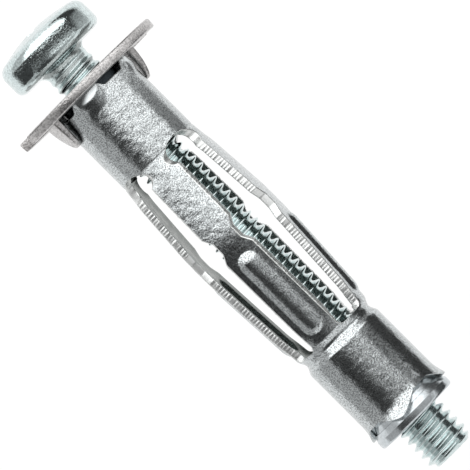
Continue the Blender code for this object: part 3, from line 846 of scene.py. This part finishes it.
def collar_section(angle, sleeve, flange):
    """The collar's sheet at one angle: a loop of (radius, along) points, and how much burnish and painted
    highlight each of them takes. A tab's bulge has a nearly flat top, falls off round it, and leaves the
    prongs clear."""
    bottom = sleeve_marks(sleeve)["collar"]
    half_tab = sleeve.tab_width / 2.0 / SLEEVE_R
    half_bulge = sleeve.bulge_width / 2.0 / SLEEVE_R
    half_prong = flange.prong_width / 2.0 / (flange.prong_r - flange.prong_t)
    ramp = TAB_RAMP / SLEEVE_R
    edge = sleeve.edge
    from_tab = from_nearest(angle, math.pi / 2.0)
    tab = float(smooth_step((half_tab + ramp - from_tab) / (2.0 * ramp)))
    top = sleeve.window * (1.0 - tab) - TAB_REACH * tab
    rows = np.concatenate([np.linspace(bottom, FINE_ROWS, 20), np.linspace(FINE_ROWS, top + edge, 26)[1:]])
    from_middle = from_tab / half_bulge
    reach = sleeve.bulge_length * math.sqrt(max(0.0, 1.0 - from_middle ** 2))
    rise = 1.0 - BULGE_SLOPE + BULGE_SLOPE * (rows / sleeve.bulge_length) ** 2
    fall = smooth_step((rows - reach) / sleeve.bulge_fall)
    beside = smooth_step((BULGE_SIDE - from_middle) / BULGE_SIDE_FALL)
    from_prong = from_nearest(angle + flange.prong_turn, math.pi)
    clear = smooth_step((from_prong - half_prong) / (flange.prong_turn - half_prong))
    radius = sleeve_radius(rows, sleeve) + sleeve.tab_bulge * rise * (1.0 - fall) * beside * clear
    bend = quarter_turn(CORNER_STEPS)
    outer_r = radius[-1] - edge
    inner_r = SLEEVE_R - sleeve.sheet
    rounding = top + edge
    loop = list(zip(radius, rows))
    loop += [(outer_r + edge * math.cos(a), rounding - edge * math.sin(a)) for a in bend]
    loop += [(inner_r + edge - edge * math.sin(a), rounding - edge * math.cos(a)) for a in [0.0] + bend]
    loop += [(inner_r, row) for row in np.linspace(rounding, bottom, 12)[1:]]
    # Painted highlight: the burnish share lifts the sheet's colour to plain bright zinc on the tab's bulge.
    burnished = np.zeros(len(loop))
    if reach > 0.0:
        burnished[:len(rows)] = smooth_step((reach + BURNISH_HIGHLIGHT_REACH - rows) / BURNISH_HIGHLIGHT_FADE)
    return loop, burnished


def build_collar():
    sleeve = bpy.context.scene.anchor_sleeve
    flange = bpy.context.scene.anchor_flange
    colours = bpy.context.scene.anchor_finish
    rings = []
    burnished = []
    for angle in full_turn(ROUND_STEPS):
        loop, burnish_and_highlight_row = collar_section(angle, sleeve, flange)
        rings.append(ring_at(loop, angle))
        burnished.append(burnish_and_highlight_row)
    mesh = marked(smooth(loft("collar", rings, round_trip=True)))
    # The burnish share goes on the mesh for the finish, where it smooths the grain and paints a highlight on
    # the tab's bulge.
    burnish_and_highlight_layer = mesh.attributes.new("burnished", "FLOAT", "POINT")
    burnish_and_highlight_layer.data.foreach_set("value", np.concatenate(burnished).astype(np.float32))
    collar = add_piece("sleeve_collar", mesh, [tumbled_zinc(colours)])
    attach(collar, "collar")
    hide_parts("collar_barrel")


def tongue_end(angle, sleeve):
    """Where the end barrel's sheet ends: at the tongues' rounded tips, and less far in the notches between
    them. Shares are of the way from a tip to the middle of a notch."""
    tip_round = 0.14
    notch_floor = 0.56
    floor_round = 0.06
    from_tip = from_nearest(angle, math.pi / 2.0) / (math.pi / 4.0)
    fall = math.hypot(from_tip, tip_round) - tip_round
    return BARREL_END - sleeve.tongue * (1.0 - float(soft_ramp(1.0 - fall / notch_floor, floor_round)))


def barrel_section(angle, sleeve):
    """The end barrel's sheet at one angle, as a loop of (radius, along) points."""
    edge = sleeve.edge
    top = tongue_end(angle, sleeve)
    rounding = top - edge
    flare_start = BARREL_END - sleeve.flare_length
    groove_end = LOWER_CREASE + sleeve.groove_place + sleeve.groove_length / 2.0
    rows = np.concatenate([
        np.linspace(rounding, flare_start, 10),
        np.linspace(flare_start, groove_end, 16)[1:],
        np.linspace(groove_end, sleeve_marks(sleeve)["barrel"], 22)[1:],
    ])
    radius = sleeve_radius(rows, sleeve)
    inner = radius - sleeve.sheet
    outer_r = float(sleeve_radius(np.array(top), sleeve))
    inner_r = outer_r - sleeve.sheet
    bend = [0.0] + quarter_turn(CORNER_STEPS)
    loop = [(inner_r + edge - edge * math.cos(a), rounding + edge * math.sin(a)) for a in bend]
    loop += [(outer_r - edge + edge * math.sin(a), rounding + edge * math.cos(a)) for a in bend[:-1]]
    loop += list(zip(radius, rows))
    loop += list(zip(inner[::-1], rows[::-1]))[:-1]
    return loop


def build_end_barrel():
    sleeve = bpy.context.scene.anchor_sleeve
    colours = bpy.context.scene.anchor_finish
    rings = [ring_at(barrel_section(angle, sleeve), angle) for angle in full_turn(ROUND_STEPS)]
    mesh = marked(smooth(loft("barrel", rings, round_trip=True)))
    barrel = add_piece("sleeve_end_barrel", mesh, [tumbled_zinc(colours)])
    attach(barrel, "nut_end")
    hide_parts("end_barrel")


# Nut

def build_nut():
    sleeve = bpy.context.scene.anchor_sleeve
    screw = bpy.context.scene.anchor_screw
    colours = bpy.context.scene.anchor_finish
    bore = screw.thread_r + 0.27 * MM
    bore_chamfer = 0.25 * MM
    body = SLEEVE_R - sleeve.sheet - 0.06 * MM
    start = LOWER_CREASE + sleeve.groove_place + sleeve.groove_length / 2.0 + 0.1 * MM
    rim = BARREL_END + 0.03 * MM
    edge = 0.2 * MM
    notch = BARREL_END - sleeve.tongue
    # The chamfer ring under the rim, in mm: how far in from the rim's radius, and along from its start
    ring = ((0.0, 0.20), (0.02, 0.17), (0.24, -0.27), (0.28, -0.29), (0.38, -0.29))
    profile = [(bore + bore_chamfer, NUT_END), (NUT_RIM_R - edge, NUT_END)]
    profile += arc(NUT_RIM_R - edge, NUT_END - edge, edge, 80.0, 0.0, 4)
    profile += [(NUT_RIM_R - inset * MM, rim + along * MM) for inset, along in ring]
    # The step down to the body lies behind the notches between the tongues
    profile += [(NUT_RIM_R - 0.55 * MM, notch - 0.05 * MM), (body, notch - 0.15 * MM)]
    profile += [(body, start), (bore, start), (bore, NUT_END - bore_chamfer)]
    mesh = smooth(turned_mesh("nut", profile, 128), 20.0)
    nut = add_piece("end_nut", mesh, [turned_zinc(colours)])
    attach(nut, "nut_end")
    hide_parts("nut")


# Flange

def prong_mesh(flange, side):
    """A pointed tongue bent down from the plate: it narrows, thins and leans in towards its tip."""
    rows = 18
    corner_steps = 4
    root = FLANGE_FRONT * 0.75
    point = 2.2
    root_fillet = 0.12 * MM
    rings = []
    for index in range(rows + 1):
        share = index / rows
        along = root + (PRONG_TIP - root) * share
        narrowing = math.sqrt(max(0.0, 1.0 - share ** point))
        width = flange.tip_width + (flange.prong_width - flange.tip_width) * narrowing
        thick = flange.prong_t + (flange.tip_t - flange.prong_t) * share
        bend = max(0.0, 1.0 - share * 4.0)
        outer = flange.prong_r - flange.lean * share ** point + root_fillet * bend ** 2
        radius = min(0.16 * MM, thick * 0.42)
        loop = []
        for sx, sy, start in ((1, 1, 0), (-1, 1, 90), (-1, -1, 180), (1, -1, 270)):
            for step in range(corner_steps + 1):
                a = math.radians(start + 90.0 * step / corner_steps)
                x = sx * (thick / 2.0 - radius) + radius * math.cos(a)
                y = sy * (width / 2.0 - radius) + radius * math.sin(a)
                loop.append((side * (outer - thick / 2.0 + x), along, -side * y))
        rings.append(loop)
    return tidy(loft("prong", rings))


def notch_mesh(flange, side):
    """A block that cuts the rim away round a prong, with a slit at each side of it."""
    slit = flange.prong_width / 2.0 + flange.slit
    block = 4.0 * MM
    bm = bmesh.new()
    bmesh.ops.create_cube(bm, size=1.0)
    bmesh.ops.scale(bm, vec=(block, block, 2.0 * slit), verts=bm.verts)
    bmesh.ops.translate(bm, vec=(side * (flange.prong_r + block / 2.0), 0.0, 0.0), verts=bm.verts)
    return mesh_from(bm, "notch")


def build_flange():
    flange = bpy.context.scene.anchor_flange
    colours = bpy.context.scene.anchor_finish
    edge = flange.edge
    back_edge = edge * 0.7
    draft = 0.03 * MM
    lip = flange.hole_r - 0.12 * MM
    bore = lip - flange.hub_t
    profile = [(bore, FLANGE_FRONT), (bore, flange.hub), (lip, flange.hub), (lip, 0.0)]
    profile += arc(FLANGE_R - draft - back_edge, -back_edge, back_edge, 90.0, 0.0, 4)
    profile += arc(FLANGE_R - edge, FLANGE_FRONT + edge, edge, 0.0, -90.0, 5)
    # The lip round the hole takes the second material, whose dark colour is painted shade in the openings
    # between the tabs.
    hub_columns = (0, 1, 2)
    plate = add_piece(
        "flange", turned_mesh("flange", profile, 160, hub_columns),
        [stamped_zinc(colours), painted_shade_recess_zinc(colours)],
    )
    for side in (1, -1):
        for shape, kind in ((notch_mesh, "DIFFERENCE"), (prong_mesh, "UNION")):
            mesh = shape(flange, side)
            mesh.transform(Matrix.Rotation(-flange.prong_turn, 4, "Y"))
            cut(plate, mesh, kind)
    tidy(plate.data, 0.002 * MM)
    smooth(plate.data, 34.0)
    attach(plate, "collar")
    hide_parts("flange_plate")


# Screw

# Turns of the wound sheet beyond the thread at each end, which close it
SPARE_TURNS = 2


def thread_tree(material):
    """Node tree of a rolled thread: a sheet of points wound on a helix, chamfered and closed at both ends."""
    tree, given = new_tree("rolled_thread", {
        "Outer Radius": "Float", "Depth": "Float", "Pitch": "Float", "Start": "Float", "Tip": "Float",
        "Chamfer": "Float", "Run In": "Float", "Turns": "Int", "Rows": "Int", "Steps": "Int",
    })
    start = given["Start"]
    tip = given["Tip"]
    along_points = add(tree, MATHS, {0: given["Turns"], 1: given["Rows"], 2: 1.0}, operation="MULTIPLY_ADD")
    around_points = add(tree, MATHS, {0: given["Steps"], 1: 1.0}, operation="ADD")
    sheet = add(tree, "GeometryNodeMeshGrid", {
        "Size X": 1.0, "Size Y": 1.0, "Vertices X": along_points, "Vertices Y": around_points,
    })
    spot = add(tree, "ShaderNodeSeparateXYZ", {0: add(tree, "GeometryNodeInputPosition")}).outputs

    # Across the sheet a point goes once round the axis and climbs one pitch; along it, turn follows turn
    share = add(tree, MATHS, {0: spot["X"], 1: 0.5}, operation="ADD")
    turns = add(tree, MATHS, {0: share, 1: given["Turns"]}, operation="MULTIPLY")
    around = add(tree, MATHS, {0: spot["Y"], 1: 0.5}, operation="ADD")
    thread_turns = add(tree, MATHS, {0: turns, 1: SPARE_TURNS}, operation="SUBTRACT")
    wound = add(tree, MATHS, {0: thread_turns, 1: around}, operation="ADD")
    along = add(tree, MATHS, {0: wound, 1: given["Pitch"], 2: start}, operation="MULTIPLY_ADD")

    # Nearly straight flanks between a narrow crest and a rounded root
    in_turn = add(tree, MATHS, {0: turns}, operation="FRACT")
    off_crest = add(tree, MATHS, {0: in_turn, 1: 0.5}, operation="SUBTRACT")
    either_side = add(tree, MATHS, {0: off_crest}, operation="ABSOLUTE")
    from_crest = add(tree, MATHS, {0: either_side, 1: 2.0}, operation="MULTIPLY")
    flank = add(tree, RANGE, {"Value": from_crest, "From Min": 0.11, "From Max": 0.80})
    root = add(tree, RANGE, {
        "Value": from_crest, "From Min": 0.06, "From Max": 0.94,
    }, interpolation_type="SMOOTHSTEP")
    root_share = add(tree, MATHS, {0: root, 1: 0.4}, operation="MULTIPLY")
    fall = add(tree, MATHS, {0: flank, 1: 0.6, 2: root_share}, operation="MULTIPLY_ADD")

    # The thread grows to its depth from the neck on, and a cone takes it down at the tip
    run = add(tree, MATHS, {0: along, 1: start}, operation="SUBTRACT")
    run_share = add(tree, MATHS, {0: run, 1: given["Run In"]}, operation="DIVIDE")
    grown = add(tree, RANGE, {"Value": run_share, "To Min": 0.05, "To Max": 1.0})
    from_middle = add(tree, MATHS, {0: fall, 1: 0.5}, operation="SUBTRACT")
    depth_share = add(tree, MATHS, {0: from_middle, 1: grown, 2: 0.5}, operation="MULTIPLY_ADD")
    depth = add(tree, MATHS, {0: depth_share, 1: given["Depth"]}, operation="MULTIPLY")
    ridge = add(tree, MATHS, {0: given["Outer Radius"], 1: depth}, operation="SUBTRACT")
    before_tip = add(tree, MATHS, {0: tip, 1: along}, operation="SUBTRACT")
    left = add(tree, MATHS, {0: before_tip, 1: 0.0}, operation="MAXIMUM")
    tip_r = add(tree, MATHS, {0: given["Outer Radius"], 1: given["Chamfer"]}, operation="SUBTRACT")
    cone = add(tree, MATHS, {0: tip_r, 1: left}, operation="ADD")
    body = add(tree, MATHS, {0: ridge, 1: cone}, operation="MINIMUM")

    # What is wound beyond the ends is drawn in to the axis and closes them
    past_tip = add(tree, MATHS, {0: along, 1: tip}, operation="SUBTRACT")
    before_start = add(tree, MATHS, {0: start, 1: along}, operation="SUBTRACT")
    beyond = add(tree, MATHS, {0: past_tip, 1: before_start}, operation="MAXIMUM")
    turns_beyond = add(tree, MATHS, {0: beyond, 1: given["Pitch"]}, operation="DIVIDE")
    closing = add(tree, RANGE, {"Value": turns_beyond, "From Max": 0.9, "To Min": 1.0, "To Max": 0.0})
    radius = add(tree, MATHS, {0: body, 1: closing}, operation="MULTIPLY")
    up_to_tip = add(tree, MATHS, {0: along, 1: tip}, operation="MINIMUM")
    kept = add(tree, MATHS, {0: up_to_tip, 1: start}, operation="MAXIMUM")
    angle = add(tree, MATHS, {0: around, 1: 2.0 * math.pi}, operation="MULTIPLY")
    cosine = add(tree, MATHS, {0: angle}, operation="COSINE")
    sine = add(tree, MATHS, {0: angle}, operation="SINE")
    x = add(tree, MATHS, {0: radius, 1: cosine}, operation="MULTIPLY")
    rise = add(tree, MATHS, {0: radius, 1: sine}, operation="MULTIPLY")
    z = add(tree, MATHS, {0: rise, 1: -1.0}, operation="MULTIPLY")
    point = add(tree, "ShaderNodeCombineXYZ", {"X": x, "Y": kept, "Z": z})
    placed = add(tree, "GeometryNodeSetPosition", {"Geometry": sheet, "Position": point})
    welded = add(tree, "GeometryNodeMergeByDistance", {"Geometry": placed, "Distance": 0.0005 * MM})
    return end_tree(tree, welded, material)


def head_profile(screw):
    under = HEAD_TOP + screw.head_height
    neck_end = under + screw.neck
    neck_r = screw.thread_r - screw.depth * 0.55
    fillet = screw.neck_fillet
    lower = screw.lower_edge
    upper = screw.top_edge
    half_chord = HEAD_R - upper
    crown_r = (half_chord ** 2 + screw.crown ** 2) / (2.0 * screw.crown)
    crown_start = -90.0 + math.degrees(math.asin(half_chord / crown_r))
    profile = [(0.0, neck_end), (neck_r, neck_end)]
    profile += arc(neck_r + fillet, under + fillet, fillet, 180.0, 270.0, 10)
    profile += arc(HEAD_R - lower, under - lower, lower, 90.0, 0.0, 12)
    profile += arc(HEAD_R - upper, HEAD_TOP + screw.crown + upper, upper, 0.0, crown_start, 14)
    profile += arc(0.0, HEAD_TOP + crown_r, crown_r, crown_start, -90.0, 10)[1:]
    profile[-1] = (0.0, HEAD_TOP)
    return profile


def recess_mesh(screw, angle):
    """One tapered bar of the cross recess, which starts above the head so that it cuts cleanly."""
    above = 0.6 * MM
    span_above = screw.recess_span * 1.3
    bm = bmesh.new()
    bmesh.ops.create_cube(bm, size=1.0)
    for vert in bm.verts:
        deep = vert.co.y > 0.0
        vert.co.x *= screw.recess_floor if deep else span_above
        vert.co.z *= screw.recess_width * (0.62 if deep else 1.1)
        vert.co.y = HEAD_TOP + (screw.recess_depth if deep else -above)
    bmesh.ops.rotate(bm, cent=(0, 0, 0), matrix=Matrix.Rotation(angle, 3, "Y"), verts=bm.verts)
    return mesh_from(bm, "recess")


def build_screw():
    screw = bpy.context.scene.anchor_screw
    colours = bpy.context.scene.anchor_finish
    # The thread starts inside the plain neck
    start = HEAD_TOP + screw.head_height + screw.neck * 0.7
    tree = thread_tree(rolled_zinc(colours))
    thread = add_piece("screw_thread", bpy.data.meshes.new("thread"), [], tree, {
        "Outer Radius": screw.thread_r,
        "Depth": screw.depth,
        "Pitch": screw.pitch,
        "Start": start,
        "Tip": SCREW_TIP,
        "Chamfer": screw.chamfer,
        "Run In": screw.run_in,
        "Turns": math.ceil((SCREW_TIP - start) / screw.pitch) + 2 * SPARE_TURNS,
        "Rows": screw.rows,
        "Steps": screw.steps,
    })
    tidy(thread.data)
    smooth(thread.data, 60.0)
    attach(thread, "screw")
    mesh = turned_mesh("head", head_profile(screw), 128)
    head = add_piece("screw_head", mesh, [headed_zinc(colours)])
    for angle in (0.0, math.pi / 2.0):
        cut(head, recess_mesh(screw, angle))
    tidy(head.data)
    smooth(head.data, 34.0)
    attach(head, "screw")
    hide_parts("screw")


# Stage

def seen_white(tree):
    """One for rays from the camera, and for those that a gloss or a clear surface sends on, and zero for the
    rest."""
    path = add(tree, "ShaderNodeLightPath").outputs
    seen = add(tree, MATHS, {0: path["Is Camera Ray"], 1: path["Is Glossy Ray"]}, operation="MAXIMUM")
    return add(tree, MATHS, {0: seen, 1: path["Is Transmission Ray"]}, operation="MAXIMUM")


def stage_material(name):
    """A material with an empty node tree, and that tree."""
    material = bpy.data.materials.new(name)
    material.use_nodes = True
    material.node_tree.nodes.clear()
    return material, material.node_tree


def floor_material():
    """Matt white paper: white to the camera and in reflections, and plain white to the light that falls on
    it."""
    material, tree = stage_material("matt_white_paper")
    paper = add(tree, "ShaderNodeBsdfDiffuse", {"Color": linear("#F4F4F4")})
    faint = add(tree, "ShaderNodeBsdfDiffuse", {"Color": linear("#6A6A6A")})
    glow = add(tree, "ShaderNodeEmission", {"Color": WHITE, "Strength": 0.90})
    lit = add(tree, "ShaderNodeAddShader", {0: glow, 1: faint})
    both = add(tree, "ShaderNodeMixShader", {0: seen_white(tree), 1: paper, 2: lit})
    add(tree, "ShaderNodeOutputMaterial", {"Surface": both})
    return material


def studio_world():
    """A plain white studio."""
    world = bpy.data.worlds.new("studio")
    world.use_nodes = True
    tree = world.node_tree
    tree.nodes.clear()
    level = add(tree, RANGE, {"Value": seen_white(tree), "To Min": 0.7, "To Max": 1.0})
    light = add(tree, "ShaderNodeBackground", {"Color": WHITE, "Strength": level})
    add(tree, "ShaderNodeOutputWorld", {"Surface": light})
    bpy.context.scene.world = world


def stage_piece(name, corners, material, faces=((0, 1, 2, 3),), card=True):
    """A sheet of the stage. A card lights the anchor or shows in its reflections, unseen by the camera."""
    mesh = bpy.data.meshes.new(name)
    mesh.from_pydata([tuple(corner) for corner in corners], [], faces)
    mesh.materials.append(material)
    piece = bpy.data.objects.new(name, mesh)
    bpy.context.scene.collection.objects.link(piece)
    piece.visible_camera = not card
    piece.visible_shadow = not card
    return piece


def build_softbox():
    """A broad softbox above the head end, dimmer towards the tip: its edge overhead parts bright sheet from
    dark."""
    height = 220.0 * MM
    far = 900.0 * MM
    near = 230.0 * MM
    left = -2.0 * far
    corners = ((left, -far, height), (near, -far, height), (near, near, height), (left, near, height))
    # The bright half ends along two lines that meet here, each with its slope and softness
    meeting = Vector((-25.0 * MM, 6.0 * MM, 0.0))
    borders = ((0.0, 14.0 * MM), (-0.29, 12.0 * MM))
    material, tree = stage_material("softbox_cloth")
    where = add(tree, "ShaderNodeTexCoord").outputs["Object"]
    fades = []
    for slope, soft in borders:
        into = Vector((slope, -1.0, 0.0)).normalized()
        edge = meeting.dot(into)
        depth = add(tree, VECTORS, {0: where, 1: into}, operation="DOT_PRODUCT")
        fades.append(add(tree, RANGE, {
            "Value": depth, "From Min": edge - soft, "From Max": edge + soft,
        }, interpolation_type="SMOOTHSTEP"))
    lit = add(tree, MATHS, {0: fades[0], 1: fades[1]}, operation="MINIMUM")
    side = add(tree, "ShaderNodeSeparateXYZ", {0: where}).outputs["X"]
    dim = add(tree, RANGE, {
        "Value": side, "From Min": 60.0 * MM, "From Max": -170.0 * MM, "To Min": 0.06, "To Max": 0.50,
    }, interpolation_type="SMOOTHSTEP")
    power = add(tree, "ShaderNodeMix", {"Factor": lit, "A": dim, "B": 1.85})
    glow = add(tree, "ShaderNodeEmission", {"Strength": power})
    add(tree, "ShaderNodeOutputMaterial", {"Surface": glow})
    stage_piece("softbox", corners, material)


def build_stage():
    stage = bpy.context.scene.anchor_stage
    bpy.context.scene.view_settings.view_transform = "Standard"
    half = stage.floor_size
    low = -stage.floor_drop
    corners = ((-half, -half, low), (half, -half, low), (half, half, low), (-half, half, low))
    stage_piece("floor", corners, floor_material(), card=False)
    studio_world()
    build_softbox()
    build_cards(low)
    build_head_flag()
    build_camera(stage)


def card_material(name, at_head, at_tip):
    """Card in a studio's shade, drawn as a faint glow: at one level at the head end and another at the tip
    end, and nearly white along an edge that is marked pale."""
    material, tree = stage_material(name)
    along = add(tree, "ShaderNodeSeparateXYZ", {0: add(tree, "ShaderNodeTexCoord").outputs["Object"]})
    fade = add(tree, RANGE, {
        "Value": along.outputs["Y"], "From Min": 5.0 * MM, "From Max": 14.0 * MM,
        "To Min": at_head, "To Max": at_tip,
    })
    pale = add(tree, "ShaderNodeAttribute", attribute_name="pale_edge").outputs["Fac"]
    level = add(tree, "ShaderNodeMix", {"Factor": pale, "A": fade, "B": 0.9})
    glow = add(tree, "ShaderNodeEmission", {"Strength": level})
    add(tree, "ShaderNodeOutputMaterial", {"Surface": glow})
    return material


def build_cards(low):
    """Three upright cards for the sheet to mirror: a dark one beside the sleeve, a dim one above it at the
    end barrel, and a pale grey wall far on the other side."""
    beside = -24.0 * MM
    top = 2.6 * MM
    wall = 230.0 * MM
    far = 600.0 * MM
    for name, x, start, end, bottom, high, material in (
        ("side_flag", beside, 0.5 * MM, 80.0 * MM, low, top, card_material("graded_card", 0.34, 0.07)),
        ("barrel_flag", beside, 22.0 * MM, 31.0 * MM, top, 17.0 * MM, card_material("dim_card", 0.20, 0.20)),
        ("wall_card", wall, -far, far, low, wall, card_material("grey_card", 0.60, 0.50)),
    ):
        corners = ((x, start, bottom), (x, end, bottom), (x, end, high), (x, start, high))
        stage_piece(name, corners, material).visible_diffuse = False


def build_head_flag():
    """A black card bent round the head at a distance, with pale edges: its reflection is the dark band on the
    head's side."""
    bend_r = 10.0 * MM
    turns = np.arange(-84.0, 113.0, 4.0)
    shares = (0.0, 0.14, 0.86, 1.0)
    # The card is narrow over the middle of the head's side, longer towards the head's top at one end, and
    # wider at both
    first = (-5.3 - 0.5 * smooth_step(-turns / 20.0) - 30.0 * smooth_step((turns - 66.0) / 16.0)) * MM
    both = np.maximum(smooth_step((turns - 62.0) / 20.0), smooth_step((-28.0 - turns) / 24.0))
    last = (-3.75 + 2.4 * both) * MM
    points = []
    for angle, start, end in zip(np.radians(turns), first, last):
        for share in shares:
            along = start + (end - start) * share
            points.append((-bend_r * math.sin(angle), along, bend_r * math.cos(angle)))
    width = len(shares)
    faces = []
    for row in range(len(turns) - 1):
        for column in range(width - 1):
            at = row * width + column
            faces.append((at, at + 1, at + width + 1, at + width))
    flag = stage_piece("head_flag", points, card_material("black_card", 0.05, 0.05), faces)
    flag.visible_diffuse = False
    pale = flag.data.color_attributes.new("pale_edge", "FLOAT_COLOR", "POINT")
    for index, item in enumerate(pale.data):
        row, column = divmod(index, width)
        ends = max(0.0, abs(row - (len(turns) - 1) / 2.0) - len(turns) / 2.0 + 3.0) / 2.5
        value = min(1.0, max(ends, 1.0 if column in (0, width - 1) else 0.0))
        item.color = (value, value, value, 1.0)


def build_camera(stage):
    back = Vector((-math.sin(stage.tilt), 0.0, math.cos(stage.tilt)))
    right = Vector((0.0, 1.0, 0.0))
    up = back.cross(right)
    aim = right * stage.aim - up * stage.aim_side
    roll = Matrix.Rotation(stage.roll, 3, back)
    data = bpy.data.cameras.new("camera")
    data.lens = stage.lens
    data.clip_start = 0.01
    camera = bpy.data.objects.new("camera", data)
    bpy.context.scene.collection.objects.link(camera)
    distance = stage.view_width * data.lens / data.sensor_width
    axes = Matrix((roll @ right, roll @ up, back)).transposed()
    camera.matrix_world = Matrix.Translation(aim + back * distance) @ axes.to_4x4()
    bpy.context.scene.camera = camera


# Operators and panel

class ANCHOR_OT_collar(bpy.types.Operator):
    """Build the sleeve's collar, with its tabs and windows"""

    bl_idname = "anchor.collar"
    bl_label = "Collar"

    def execute(self, context):
        build_collar()
        return {"FINISHED"}


class ANCHOR_OT_legs(bpy.types.Operator):
    """Build the sleeve's four legs, with their creases, knees and beads"""

    bl_idname = "anchor.legs"
    bl_label = "Legs"

    def execute(self, context):
        build_legs()
        return {"FINISHED"}


class ANCHOR_OT_end_barrel(bpy.types.Operator):
    """Build the sleeve's end barrel, with its groove and tongues"""

    bl_idname = "anchor.end_barrel"
    bl_label = "End barrel"

    def execute(self, context):
        build_end_barrel()
        return {"FINISHED"}


class ANCHOR_OT_nut(bpy.types.Operator):
    """Build the nut held in the end barrel"""

    bl_idname = "anchor.nut"
    bl_label = "Nut"

    def execute(self, context):
        build_nut()
        return {"FINISHED"}


class ANCHOR_OT_flange(bpy.types.Operator):
    """Build the flange and its two prongs"""

    bl_idname = "anchor.flange"
    bl_label = "Flange"

    def execute(self, context):
        build_flange()
        return {"FINISHED"}


class ANCHOR_OT_screw(bpy.types.Operator):
    """Build the pan-head screw and its thread"""

    bl_idname = "anchor.screw"
    bl_label = "Screw"

    def execute(self, context):
        build_screw()
        return {"FINISHED"}


class ANCHOR_OT_stage(bpy.types.Operator):
    """Set the floor, the light and the camera"""

    bl_idname = "anchor.stage"
    bl_label = "Stage"

    def execute(self, context):
        build_stage()
        return {"FINISHED"}


GROUPS = {
    "anchor_sleeve": AnchorSleeveSizes,
    "anchor_screw": AnchorScrewSizes,
    "anchor_flange": AnchorFlangeSizes,
    "anchor_finish": AnchorFinish,
    "anchor_stage": AnchorStage,
}
OPERATORS = (
    ANCHOR_OT_flange,
    ANCHOR_OT_collar,
    ANCHOR_OT_legs,
    ANCHOR_OT_end_barrel,
    ANCHOR_OT_nut,
    ANCHOR_OT_screw,
    ANCHOR_OT_stage,
)


class ANCHOR_PT_panel(bpy.types.Panel):
    """Lists the anchor's sizes and the operators that build it"""

    bl_idname = "ANCHOR_PT_panel"
    bl_label = "Hollow-wall anchor"
    bl_space_type = "VIEW_3D"
    bl_region_type = "UI"
    bl_category = "Anchor"

    def draw(self, context):
        layout = self.layout
        for operator in OPERATORS:
            layout.operator(operator.bl_idname)
        for name in GROUPS:
            group = getattr(context.scene, name)
            box = layout.box()
            for key in group.bl_rna.properties.keys():
                if key not in ("rna_type", "name"):
                    box.prop(group, key)


def register():
    for group in GROUPS.values():
        bpy.utils.register_class(group)
    for operator in OPERATORS:
        bpy.utils.register_class(operator)
    bpy.utils.register_class(ANCHOR_PT_panel)
    for name, group in GROUPS.items():
        setattr(bpy.types.Scene, name, PointerProperty(type=group))


def unregister():
    for name in GROUPS:
        delattr(bpy.types.Scene, name)
    bpy.utils.unregister_class(ANCHOR_PT_panel)
    for operator in reversed(OPERATORS):
        bpy.utils.unregister_class(operator)
    for group in reversed(list(GROUPS.values())):
        bpy.utils.unregister_class(group)


def main():
    register()
    bpy.ops.anchor.flange()
    bpy.ops.anchor.collar()
    bpy.ops.anchor.legs()
    bpy.ops.anchor.end_barrel()
    bpy.ops.anchor.nut()
    bpy.ops.anchor.screw()
    bpy.ops.anchor.stage()


if __name__ == "__main__":
    main()
